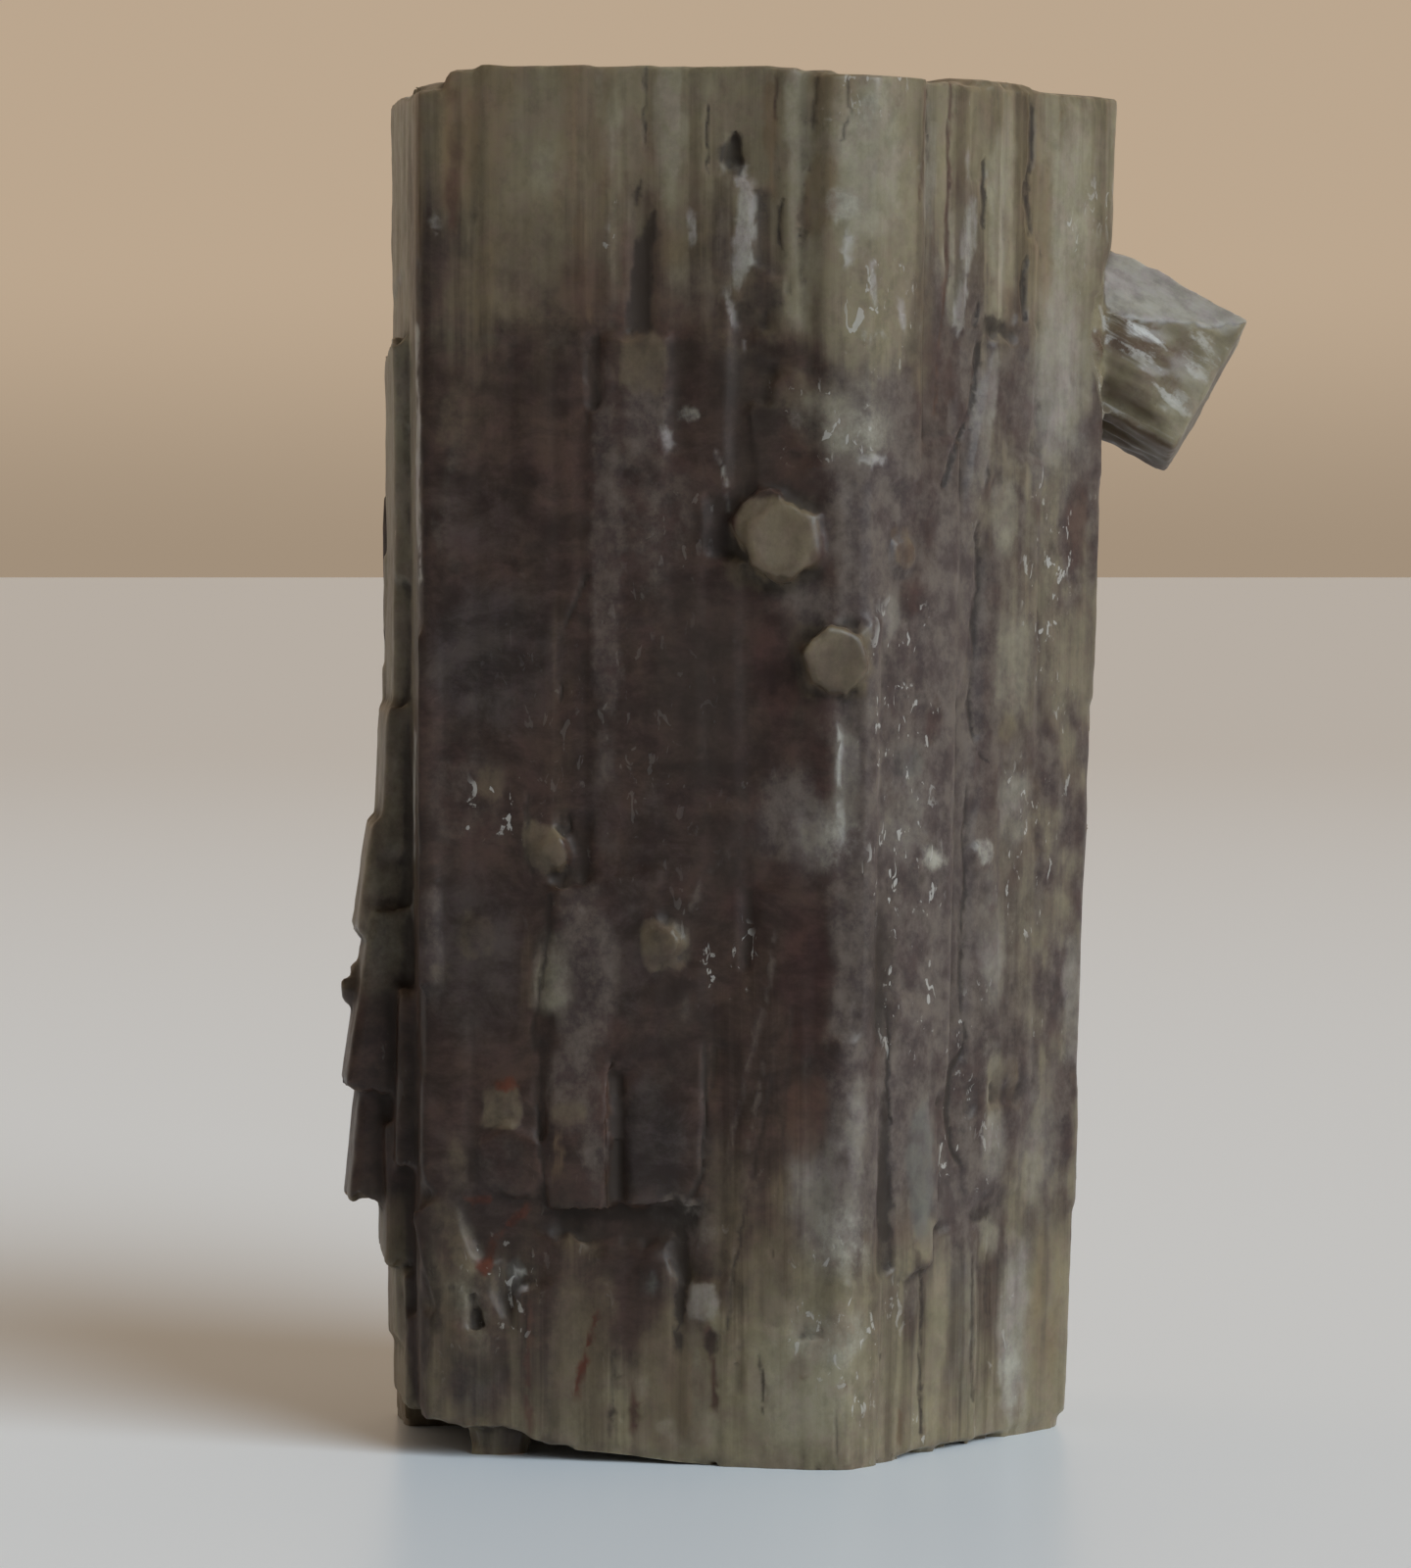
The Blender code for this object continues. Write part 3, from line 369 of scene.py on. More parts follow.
        (0.4, 37.6, 0.8, 0.75, 0.25, 0.25), (1.05, 33.3, 1.75, 1.75, 0.85, 0.2), (9.6, 26.6, 0.6, 0.7, 0.8),
        (5.2, 24.0, 0.4, 0.7, 0.4), (-9.8, 19.2, 0.7, 0.8, 0.35, 0.25), (-2.9, 18.9, 0.8, 0.9, 0.6, 0.2),
        (-11.2, 17.6, 0.45, 0.3, 0.3), (-9.0, 12.9, 0.75, 0.75, 0.6, 0.2), (-6.4, 12.7, 0.6, 0.6, 0.5, 0.3),
        (-10.6, 10.4, 0.6, 1.6, 0.4), (-0.7, 9.0, 1.1, 3.2, 0.75, 0.6), (1.3, 7.6, 0.7, 1.8, 0.7),
    )),
    ("amber", (
        (11.7, 49.2, 0.16, 0.8, 0.7), (0.8, 48.0, 0.35, 2.6, 0.85), (2.6, 45.8, 0.6, 1.8, 0.6, 0.4, 0.18),
        (11.3, 43.8, 0.45, 0.25, 0.7), (5.6, 33.2, 0.5, 0.7, 0.45, 0.25), (-7.8, 18.0, 0.5, 1.7, 0.25),
        (-6.7, 11.4, 0.3, 0.8, 0.5), (-2.4, 2.6, 0.5, 1.6, 0.3), (5.6, 1.2, 0.16, 0.6, 0.8),
    )),
    ("dusk", (
        (0.7, 44.0, 0.8, 1.9, 0.35, 0.6), (-5.6, 42.8, 1.6, 4.0, 0.4, 0.8), (-11.2, 42.6, 1.3, 3.6, 0.4, 0.8),
        (-7.8, 39.6, 3.4, 2.8, 0.5, 0.8), (6.2, 33.6, 0.8, 1.8, 0.4, 0.7), (5.6, 24.6, 1.5, 8.0, 0.25, 0.8),
        (7.4, 12.8, 2.6, 2.4, 0.38, 0.8), (-8.4, 5.4, 3.8, 5.4, 0.62, 0.7),
    )),
    ("green", ((9.2, 12.8, 0.7, 2.2, 0.5), (-3.6, 1.0, 2.4, 1.2, 0.4))),
    ("pale", (
        (-5.0, 48.4, 0.5, 2.2, 0.4), (-2.8, 48.2, 0.6, 2.6, 0.45), (-7.2, 46.8, 0.9, 1.2, 0.3),
        (-10.1, 5.4, 0.75, 2.2, 0.38, 0.6, -0.36),
    )),
    ("mist", ((7.9, 4.4, 1.0, 3.2, 0.35), (-10.2, 2.6, 1.3, 1.6, 0.35, 0.8))),
    ("pale", ((8.0, 2.8, 1.0, 2.4, 0.35, 0.7),)),
    ("amber", (
        (-10.4, 47.9, 1.3, 3.2, 0.55, 0.6), (-12.0, 46.8, 0.6, 3.8, 0.5), (-5.9, 44.6, 0.3, 3.4, 0.6),
        (-8.6, 38.6, 2.4, 3.4, 0.14), (9.8, 13.6, 0.4, 0.8, 0.45),
    )),
    ("soil", (
        (-3.85, 42.6, 0.45, 2.6, 1.0, 0.3, 0.04), (-4.9, 9.0, 3.0, 0.35, 0.9, 0.3, -0.04),
        (-11.6, 4.0, 1.2, 4.6, 0.35, 0.8),
    )),
    ("moss", (
        (1.0, 40.7, 0.6, 0.5, 0.7, 0.25), (-3.75, 39.7, 0.85, 1.1, 0.7, 0.2), (-10.6, 37.8, 0.6, 1.5, 0.4),
        (2.95, 29.1, 1.45, 1.45, 0.9, 0.2), (-10.1, 7.2, 0.75, 2.6, 0.55, 0.3, -0.46),
        (-10.4, 3.4, 0.8, 2.0, 0.25), (-2.6, 3.0, 1.6, 3.0, 0.7),
    )),
    ("dusk", (
        (-0.9, 45.6, 0.9, 2.8, 0.35, 0.8), (-10.9, 44.2, 0.9, 1.6, 0.45, 0.8),
        (1.2, 39.6, 1.1, 1.4, 0.4, 0.8), (-6.5, 33.0, 0.6, 8.5, 0.35, 0.7), (-10.6, 2.8, 0.45, 0.9, 0.5),
    )),
    ("soil", (
        (-2.45, 7.2, 0.2, 2.2, 0.95, 0.3), (-11.5, 6.8, 0.55, 2.6, 0.7), (-3.9, 6.6, 0.3, 1.4, 0.3),
        (-10.7, 6.2, 0.3, 0.6, 0.5, 0.4, -0.4), (-1.2, 4.4, 0.25, 0.4, 0.7),
    )),
    ("lilac", (
        (-5.0, 43.1, 0.55, 2.4, 0.75), (-2.3, 42.2, 1.2, 1.2, 0.6), (-5.8, 18.0, 1.2, 3.4, 0.55),
        (7.9, 11.6, 0.6, 2.6, 0.6), (-2.6, 9.3, 1.0, 0.5, 0.6),
    )),
    ("umber", (
        (-3.6, 44.6, 0.7, 3.8, 0.5, 0.8), (-4.2, 43.4, 0.65, 3.6, 0.6, 0.6),
        (-5.6, 41.8, 1.2, 2.8, 0.45, 0.8), (-2.6, 41.4, 1.4, 1.2, 0.35, 0.8), (-6.0, 36.6, 0.6, 5.0, 0.35),
        (12.4, 34.2, 0.6, 1.5, 0.35), (2.1, 12.9, 0.95, 2.2, 0.7),
    )),
    ("lilac", (
        (-0.75, 45.0, 0.25, 2.0, 0.8), (-3.7, 38.0, 0.9, 1.6, 0.6), (-3.4, 34.6, 1.5, 3.4, 0.3),
        (-5.05, 33.4, 0.65, 7.4, 0.5), (3.4, 12.6, 0.9, 3.0, 0.8, 0.7), (2.4, 9.8, 1.3, 3.0, 0.95, 0.7),
    )),
    ("moss", ((-1.7, 45.3, 0.6, 1.2, 0.7), (-9.2, 5.0, 0.7, 1.4, 0.45, 0.7))),
    ("dusk", ((-7.6, 27.6, 1.5, 3.8, 0.45, 0.8), (-6.6, 6.8, 1.4, 2.2, 0.45, 0.8))),
    ("amber", ((-2.6, 43.9, 0.9, 0.7, 0.3, 0.8), (-6.8, 25.4, 0.6, 5.4, 0.22))),
    ("moss", (
        (-9.4, 24.6, 0.55, 0.8, 0.45), (-7.2, 22.3, 0.75, 0.9, 0.65, 0.2), (-5.9, 4.2, 1.3, 3.2, 0.55),
    )),
    ("lilac", ((-10.2, 24.0, 1.6, 2.2, 0.25),)),
    ("soil", ((-3.9, 7.6, 1.4, 1.2, 0.4, 0.7), (-4.8, 3.2, 0.13, 1.4, 0.6))),
))

# Where the grooves along the growth are deeper or shallower than elsewhere.
STRIATED = entries(Patch, (
    ("striae", (
        (-8.0, 46.4, 2.0, 6.0, 0.15), (7.9, 46.0, 0.6, 5.0, 1.3), (9.8, 46.0, 1.0, 5.0, 1.6),
        (4.6, 44.0, 2.2, 6.0, 0.25), (12.4, 42.0, 1.8, 8.0, 0.3), (8.4, 3.4, 1.4, 4.6, 1.5),
        (0.4, 11.0, 2.0, 8.0, 1.2),
    )),
))

# Where the blades keep their own steps, and the gaps between them stay open.
STANDING = entries(Patch, (
    ("steps", (
        (-0.42, 47.25, 0.6, 0.95, 0.15), (-4.6, 11.4, 3.2, 2.4, 0.4), (-4.6, 8.7, 2.9, 0.9, 0.34),
        (-2.5, 7.2, 0.5, 2.2, 0.3), (-9.6, 5.8, 2.0, 3.0, 0.22), (-9.0, 0.6, 2.0, 0.8),
        (1.05, 33.3, 2.0, 2.0, 0.3), (2.95, 29.1, 1.7, 1.7, 0.3), (-7.2, 22.3, 0.9, 0.9, 0.4),
        (-2.9, 18.9, 0.9, 0.9, 0.4), (6.6, 7.4, 2.0, 1.2, 0.3),
    )),
))

# Cracks, clefts and painted highlights along bright edges, in millimetres.
SEAMS = entries(Seam, (
    ("soil", (
        (0.12, 0.12, 0.9, ((10.5, 50.3), (10.5, 48.0), (10.3, 46.2), (10.5, 44.4), (10.2, 43.0),
            (10.3, 41.6))),
        (0.1, 0.08, 0.9, ((8.6, 47.2), (8.6, 44.4), (8.5, 42.4), (8.3, 41.2))),
        (0.1, 0.1, 0.9, ((8.5, 40.8), (8.3, 38.6), (7.6, 36.8), (7.1, 35.4))),
        (0.08, 0.06, 0.9, ((8.9, 36.5), (8.8, 35.2), (8.4, 33.6), (8.5, 32.0), (8.3, 30.4), (8.4, 29.0),
            (8.1, 27.4), (8.3, 26.4), (8.5, 25.6), (8.9, 25.3))),
        (0.05, 0.04, 0.8, ((8.1, 24.4), (7.9, 22.6), (8.0, 20.6), (7.8, 18.8), (7.9, 17.0), (8.0, 15.2))),
        (0.1, 0.08, 0.9, ((8.0, 15.0), (7.4, 13.8), (7.3, 12.4), (7.5, 11.2), (7.9, 10.4), (7.9, 9.4))),
        (0.08, 0.08, 0.9, ((5.0, 16.4), (5.1, 15.0), (5.05, 13.8), (5.2, 12.4))),
        (0.06, 0.03, 0.6, ((3.6, 49.8), (3.6, 48.4), (3.3, 47.6))),
        (0.06, 0.03, 0.6, ((2.5, 50.0), (2.4, 48.2), (2.2, 46.6))),
        (0.1, 0.06, 0.7, ((1.2, 45.4), (1.1, 44.0), (1.5, 43.2), (1.5, 42.2))),
        (0.06, 0.04, 0.8, ((-1.45, 48.9), (-1.45, 46.2))),
        (0.07, 0.04, 0.7, ((-3.65, 50.3), (-3.7, 47.5), (-3.9, 45.6))),
        (0.14, 0.04, 0.5, ((-5.75, 40.8), (-5.75, 38.0), (-5.8, 35.0))),
        (0.09, 0.08, 0.8, ((-5.8, 32.0), (-6.5, 30.6), (-6.7, 29.0), (-6.7, 27.6))),
        (0.09, 0.08, 0.8, ((-6.3, 26.0), (-6.45, 24.4), (-6.4, 23.0))),
        (0.08, 0.05, 0.7, ((-7.9, 24.2), (-8.0, 22.2), (-7.8, 21.4))),
        (0.09, 0.05, 0.8, ((-7.1, 20.6), (-7.3, 18.4), (-7.7, 16.0), (-7.7, 13.4), (-7.5, 11.8),
            (-7.3, 9.2))),
        (0.16, 0.12, 0.8, ((-4.8, 14.6), (-4.9, 12.5), (-4.9, 10.0), (-5.0, 9.3))),
        (0.11, 0.1, 0.9, ((-1.5, 15.4), (-1.5, 12.6), (-1.6, 10.6), (-2.3, 9.4))),
        (0.06, 0.04, 0.6, ((0.9, 14.2), (0.2, 10.4), (-0.5, 7.0), (-0.8, 4.4))),
        (0.05, 0.03, 0.45, ((1.6, 16.4), (1.2, 11.4), (0.9, 7.6))),
        (0.07, 0.04, 0.6, ((-8.0, 6.0), (-8.1, 3.0))),
        (0.06, 0.04, 0.6, ((-4.9, 3.9), (-4.95, 1.0))),
        (0.06, 0.04, 0.7, ((0.4, 4.0), (0.6, 3.0), (0.5, 2.2))),
        (0.05, 0.03, 0.6, ((3.2, 2.9), (3.2, 0.3))),
        (0.07, 0.05, 0.8, ((6.3, 7.0), (6.4, 5.4), (6.3, 4.0), (6.4, 0.8))),
        (0.05, 0.04, 0.6, ((8.4, 7.4), (8.3, 4.0), (8.4, 1.6))),
        (0.07, 0.05, 0.6, ((8.9, 7.0), (8.8, 4.2), (8.9, 1.2))),
    )),
    ("umber", (
        (0.08, 0.05, 0.8, ((7.35, 50.0), (7.25, 46.0), (7.2, 43.0), (6.9, 40.5), (6.8, 38.0))),
        (0.06, 0.03, 0.6, ((6.4, 49.6), (6.35, 47.4), (6.2, 45.6))),
        (0.06, 0.03, 0.6, ((1.0, 50.0), (1.0, 48.4))),
    )),
    # Painted highlights: bright lines along edges that catch the light, such as the left front edge.
    ("frost", (
        (0.09, 0.0, 0.8, ((3.3, 26.8), (3.25, 25.0), (3.35, 22.6))),
        (0.04, 0.0, 0.45, ((-1.2, 36.6), (-0.8, 35.9), (-0.72, 34.4))),
        (0.09, 0.0, 0.85, ((-11.95, 41.2), (-11.9, 38.0), (-11.95, 34.4), (-11.85, 32.0))),
        (0.05, 0.0, 0.8, ((-12.1, 26.4), (-12.2, 24.0), (-12.2, 21.8))),
        (0.04, 0.0, 0.5, ((-12.25, 20.6), (-12.3, 19.4))),
    )),
    ("lilac", (
        (0.14, 0.0, 0.55, ((-0.2, 23.2), (-0.7, 22.2), (-1.7, 21.2), (-2.0, 20.2))),
        (0.08, 0.0, 0.55, ((1.0, 20.0), (0.9, 18.0), (0.4, 16.0), (-0.2, 13.6), (-0.8, 10.6))),
        (0.06, 0.0, 0.5, ((0.6, 14.6), (0.1, 12.0), (-0.4, 9.4))),
    )),
))


# Settings ----------------------------------------------------------------


def depth(name, description, default, most):
    """A setting for a small length, given in millimetres."""
    return FloatProperty(
        name=name, description=description,
        default=default * MM, min=0.0, max=most * MM, unit="LENGTH", precision=5,
    )


def angle(name, description, default):
    """A setting for an angle, given in degrees."""
    return FloatProperty(name=name, description=description, default=math.radians(default), subtype="ANGLE")


def colour(name, description, default):
    """A setting for a colour."""
    return FloatVectorProperty(
        name=name, description=description, default=default, size=3, subtype="COLOR", min=0, max=1,
    )


class ColumnShape(bpy.types.PropertyGroup):
    """Sizes of the column's fine growth."""

    grain: FloatProperty(
        name="Grain", description="Cell size that the surface is rebuilt at",
        default=0.125 * MM, min=0.08 * MM, max=1.0 * MM, unit="LENGTH", precision=5,
    )
    faces: IntProperty(
        name="Triangles", description="Most triangles that the finished column keeps",
        default=194000, min=20000, max=199000,
    )
    evenness: FloatProperty(
        name="Evenness", description="How evenly triangles are spread rather than gathered at details",
        default=4e-6, min=0.0, max=1.0, precision=8,
    )
    slivers: IntProperty(
        name="Slivers", description="Slender blades added to each side", default=26, min=0, max=400,
    )
    wander: depth("Wander", "How far blade edges stray from straight lines", 0.10, 1.0)
    striae: depth("Striae", "Depth of the fine grooves that run up every side", 0.028, 0.3)
    chipping: depth("Chipping", "Depth of the chips along the edges", 0.16, 1.0)
    steps: FloatProperty(
        name="Steps", description="How much of each blade's step is kept, from merged to separate",
        default=0.36, min=0.0, max=1.0, subtype="FACTOR",
    )
    softness: IntProperty(
        name="Softness", description="Rounds of smoothing that melt the blades together", default=2, min=0,
    )
    swell: depth("Swell", "Depth of the shallow hollows and swellings of every side", 0.045, 0.5)
    seed: IntProperty(name="Seed", description="Seed of the random growth", default=7, min=0)


class CrystalColours(bpy.types.PropertyGroup):
    """Colours of the crystal."""

    violet: colour("Smoky violet", "The dark middle of the column", (0.046, 0.026, 0.019))
    slate: colour("Slate", "Bluish grey clouds in the dark middle", (0.040, 0.029, 0.025))
    lilac: colour("Lilac", "Paler violet zones", (0.106, 0.081, 0.069))
    wine: colour("Wine", "Deep reddish zones", (0.048, 0.022, 0.017))
    green: colour("Grey green", "The clearer ends of the column", (0.205, 0.168, 0.108))
    moss: colour("Moss", "Small crystal ends and greenish clouds", (0.130, 0.098, 0.063))
    pale: colour("Pale green", "The clearest panels", (0.275, 0.245, 0.180))
    amber: colour("Amber", "Brown bands along the growth", (0.150, 0.100, 0.056))
    umber: colour("Umber", "Reddish brown patches in the dark middle", (0.088, 0.047, 0.032))
    mauve: colour("Mauve", "Pale lavender zones at the right and at the foot", (0.265, 0.235, 0.198))
    mist: colour("Mist", "Bluish grey clouds at the foot", (0.100, 0.094, 0.083))
    milk: colour("Milky white", "Cloudy patches", (0.34, 0.31, 0.265))
    # This bright colour is painted highlight on bright facets, edges and glints, and the white of tiny flaws.
    frost: colour("Frost", "Bright facets and tiny flaws", (0.38, 0.355, 0.32))
    rust: colour("Rust", "Iron stains", (0.085, 0.026, 0.014))
    # This dark colour is dirt left in the clefts, and also painted shade in hollows and under the side
    # crystal.
    soil: colour("Soil", "Dirt left in the clefts", (0.026, 0.017, 0.012))


class StageLook(bpy.types.PropertyGroup):
    """The floor, the light and the camera."""

    floor_colour: colour("Floor", "Colour of the floor", (0.765, 0.81, 0.86))
    # The far floor's colour is painted shade: the floor dims away from the camera.
    far_floor_colour: colour("Far floor", "Colour of the floor far away", (0.60, 0.585, 0.575))
    floor_reach: FloatProperty(
        name="Floor reach", description="Distance over which the floor changes to its far colour",
        default=0.8, min=0.01, unit="LENGTH",
    )
    wall_colour: colour("Backdrop", "Colour behind the crystal", (0.50, 0.385, 0.275))
    room_colour: colour("Shade", "Colour of the surroundings on the camera's side", (0.15, 0.135, 0.12))
    key_strength: FloatProperty(
        name="Key light", description="Strength of the wide light", default=3.0, min=0,
    )
    key_bearing: angle("Key bearing", "Direction that the wide light comes from, seen from above", -43)
    key_height: angle("Key height", "Height of the wide light above the floor", 32)
    key_spread: angle("Key spread", "Width of the wide light as seen from the crystal", 42)


# Noise -------------------------------------------------------------------


# The axes of the noise's cells, turned against the column's sides, and how its layers differ and add up.
NOISE_AXES = ((0.857, -0.515, 0.0), (0.515, 0.857, 0.0), (0.0, 0.0, 1.0))
FINER = 2.03
SEED_STEP = 31
NOISE_GAIN = 1.5


def hashed(cells, seed):
    """A repeatable number from -1 to 1 for each integer cell."""
    mixed = cells[:, 0] * 73856093 ^ cells[:, 1] * 19349663 ^ cells[:, 2] * 83492791 ^ (seed * 2654435761)
    mixed &= 0xFFFFFFFF
    mixed = (mixed ^ (mixed >> 15)) * 2246822519 & 0xFFFFFFFF
    mixed = (mixed ^ (mixed >> 13)) * 3266489917 & 0xFFFFFFFF
    mixed ^= mixed >> 16
    return mixed / 0x7FFFFFFF - 1.0


def smooth_noise(points, scale, seed):
    """Smooth noise from -1 to 1 at each point. scale is cells per millimetre along each axis."""
    turned = points @ np.array(NOISE_AXES)
    spot = turned * np.asarray(scale)
    cell = np.floor(spot).astype(np.int64)
    part = spot - cell
    part = part * part * (3.0 - 2.0 * part)
    total = np.zeros(len(points))
    for corner in range(8):
        step = np.array((corner & 1, corner >> 1 & 1, corner >> 2 & 1))
        share = np.where(step, part, 1.0 - part).prod(axis=1)
        total += share * hashed(cell + step, seed)
    return total


def layered_noise(points, scale, seed, layers=3):
    """Several octaves of smooth noise, from about -1 to 1."""
    scale = np.asarray(scale, float)
    total, size, weight = np.zeros(len(points)), 1.0, 0.0
    for layer in range(layers):
        total += size * smooth_noise(points, scale * FINER**layer, seed + SEED_STEP * layer)
        weight += size
        size *= 0.5
    return total / weight * NOISE_GAIN


def ramp(value, low, high):
    """Smoothly from 0 at low to 1 at high."""
    share = np.clip((value - low) / (high - low), 0.0, 1.0)
    return share * share * (3.0 - 2.0 * share)


# Mesh helpers ------------------------------------------------------------


def mesh_arrays(mesh):
    """A mesh's points and point normals, in millimetres."""
    points = np.empty(len(mesh.vertices) * 3)
    mesh.vertices.foreach_get("co", points)
    normals = np.empty(len(mesh.vertices) * 3)
    mesh.vertex_normals.foreach_get("vector", normals)
    return points.reshape(-1, 3) / MM, normals.reshape(-1, 3)


def store_points(mesh, points):
    """Write points given in millimetres back to a mesh."""
    mesh.vertices.foreach_set("co", (points * MM).ravel())
    mesh.update()


def edge_pairs(mesh):
    """The two points of every edge."""
    pairs = np.empty(len(mesh.edges) * 2, np.int32)
    mesh.edges.foreach_get("vertices", pairs)
    return pairs.reshape(-1, 2)


def neighbour_mean(values, pairs, rounds):
    """Each point's value averaged with its neighbours', over and over."""
    count = np.bincount(pairs.ravel(), minlength=len(values)).astype(float)
    count[count == 0] = 1.0
    flat = values.reshape(len(values), -1).copy()
    for _ in range(rounds):
        total = np.empty_like(flat)
        for axis in range(flat.shape[1]):
            column = flat[:, axis]
            total[:, axis] = np.bincount(pairs[:, 0], column[pairs[:, 1]], len(flat)) + np.bincount(
                pairs[:, 1], column[pairs[:, 0]], len(flat)
            )
        flat = 0.5 * flat + 0.5 * total / count[:, None]
    return flat.reshape(values.shape)


def hollow_depth(points, normals, pairs, rounds):
    """How far each point lies in a hollow, in millimetres. Negative on ridges and edges."""
    return ((neighbour_mean(points, pairs, rounds) - points) * normals).sum(axis=1)


def applied(obj):
    """The object's mesh with its modifiers applied, which then have no more use."""
    evaluated = obj.evaluated_get(bpy.context.evaluated_depsgraph_get())
    mesh = bpy.data.meshes.new_from_object(evaluated)
    old = obj.data
    obj.modifiers.clear()
    obj.data = mesh
    bpy.data.meshes.remove(old)
    return mesh


def new_piece(name, bm):
    """A finished bmesh as an object at the origin."""
    mesh = bpy.data.meshes.new(name)
    bm.to_mesh(mesh)
    bm.free()
    piece = bpy.data.objects.new(name, mesh)
    bpy.context.scene.collection.objects.link(piece)
    return piece


def side_frame(side):
    """Matrix from one side's own axes (along, inwards, up) to the column's, in millimetres, and its width."""
    after = (side + 1) % len(FOOT_CORNERS)
    foot, foot_end = (Vector((*FOOT_CORNERS[at], 0.0)) for at in (side, after))
    top, top_end = (Vector((*TOP_CORNERS[at], HEIGHT)) for at in (side, after))
    along = (foot_end - foot).normalized()
    rise = ((top + top_end) - (foot + foot_end)).normalized()
    inward = rise.cross(along).normalized()
    turn = Matrix((along, inward, along.cross(inward))).transposed().to_4x4()
    return Matrix.Translation(foot) @ turn, (foot_end - foot).length


def stand_out(points):
    """How far each point stands out of the plain six-sided column, and that side's outward direction."""
    proud = np.full(len(points), -1e9)
    outward = np.zeros_like(points)
    for side in range(len(FOOT_CORNERS)):
        matrix, _ = side_frame(side)
        away = -np.array(matrix.col[1][:3])
        distance = (points - np.array(matrix.translation)) @ away
        nearer = distance > proud
        proud = np.where(nearer, distance, proud)
        outward[nearer] = away
    return proud, outward


def frontness(points):
    """How far forward each point lies, in millimetres. The narrow side at the right counts as front too."""
    return -points[:, 1] + SIDE_LEAN * np.clip(points[:, 0] - TURN_AT, 0.0, None)


def front_place(across, up):
    """The side that is seen at this place across the front, with the point on its blades at that height."""
    side = 0 if across < FRONT_EDGE_AT else 1
    matrix, width = side_frame(side)
    start = matrix @ Vector((0.0, -FLUSH, up))
    along = (across - start.x) / matrix.col[0][0]
    along = min(max(along, -BEFORE_SIDE), width + BEYOND_SIDE)
    return matrix, matrix @ Vector((along, -FLUSH, up))


def patch_share(points, patch, ragged):
    """How much of a patch covers each point, from 0 to 1. ragged frays its outline by so many millimetres."""
    matrix, middle = front_place(patch.across, patch.up)
    away = points - np.array(middle)
    along = away @ np.array(matrix.col[0][:3])
    depth = np.abs(away @ np.array(matrix.col[1][:3]))
    up = away @ np.array(matrix.col[2][:3])
    u, v = np.abs(along - patch.lean * up) / patch.wide, np.abs(up) / patch.tall
    square = SQUARE if patch.soft < 0.3 else ROUND
    stray = np.clip(ragged / min(patch.wide, patch.tall), -MOST_FRAYED, MOST_FRAYED)
    reach = (u**square + v**square) ** (1 / square) + stray
    inside = 1.0 - ramp(reach, 1.0 - patch.soft, 1.0 + OUTER_FADE * patch.soft)
    return inside * (1.0 - ramp(depth, *PATCH_DEPTH))


def seam_share(points, seam, ragged, breaks):
    """How much of a seam covers each point, from 0 to 1. It strays by ragged and fades where it breaks."""
    nearest = np.full(len(points), 1e9)
    spot = points[:, (0, 2)] + np.stack((SEAM_WANDER * ragged, np.zeros(len(points))), axis=1)
    for (across, up), (across_end, up_end) in zip(seam.course, seam.course[1:]):
        start, end = np.array((across, up)), np.array((across_end, up_end))
        step = end - start
        share = np.clip(((spot - start) @ step) / (step @ step), 0.0, 1.0)
        nearest = np.minimum(nearest, np.linalg.norm(spot - start - share[:, None] * step, axis=1))
    facing = ramp(frontness(points), *SEAM_FRONT)
    wide = seam.wide * (0.2 + 0.8 * breaks)
    inside = 1.0 - ramp(nearest, SEAM_CORE * wide, wide + SEAM_FADE)
    return inside * facing * (0.15 + 0.85 * ramp(breaks, 0.1, 0.6))


def seam_noise(points):
    """How far the seams stray sideways at each point, and how whole they are there, from 0 to 1."""
    ragged = layered_noise(points, *SEAM_STRAY)
    breaks = ramp(layered_noise(points, *SEAM_BREAKS), -0.85, 0.35)
    return ragged, breaks


# Column ------------------------------------------------------------------


def add_slab(bm, matrix, size, narrow):
    """A slender closed slab, a little narrower at its top, added to the bmesh."""
    made = bmesh.ops.create_cube(bm, size=1.0)["verts"]
    bmesh.ops.scale(bm, vec=size, verts=made)
    for vert in made:
        if vert.co.z > 0:
            vert.co.x *= narrow
    bmesh.ops.transform(bm, matrix=Matrix.Scale(MM, 4) @ matrix, verts=made)


def surface_depth(tree, matrix, along, up):
    """How deep under a plane outside the side its surface lies there, in millimetres."""
    start = matrix @ Vector((along, -PLANE_OUT, up))
    inward = matrix.to_3x3() @ Vector((0, 1, 0))
    hit = tree.ray_cast(start * MM, inward, RAY_REACH * MM)
    return None if hit[0] is None else hit[3] / MM


def add_slivers(bm, tree, side, count, rng):
    """Slender blades standing a hair proud of whatever the side's surface is at that place."""
    matrix, width = side_frame(side)
    for _ in range(count):
        along = rng.uniform(0.2, width + 1.6)
        tall = rng.choice(SLIVER_HEIGHTS) * rng.uniform(0.8, 1.3)
        low = rng.uniform(0.3, HEIGHT - 0.6 - tall)
        wide = rng.uniform(0.3, 1.3)
        depths = [surface_depth(tree, matrix, along, low + tall * share) for share in SLIVER_PROBES]
        proud = rng.uniform(0.04, 0.12)
        lean = rng.uniform(-1.5, 1.5)
        narrow = rng.uniform(0.7, 1.0)
        if None in depths or max(depths) - min(depths) > MOST_UNEVEN:
            continue
        middle = max(depths) - PLANE_OUT - proud + SLIVER_THICK / 2
        place = Matrix.Translation((along, middle, low + tall / 2))
        tilt = Matrix.Rotation(math.radians(lean), 4, "Y")
        add_slab(bm, matrix @ place @ tilt, (wide, SLIVER_THICK, tall), narrow)


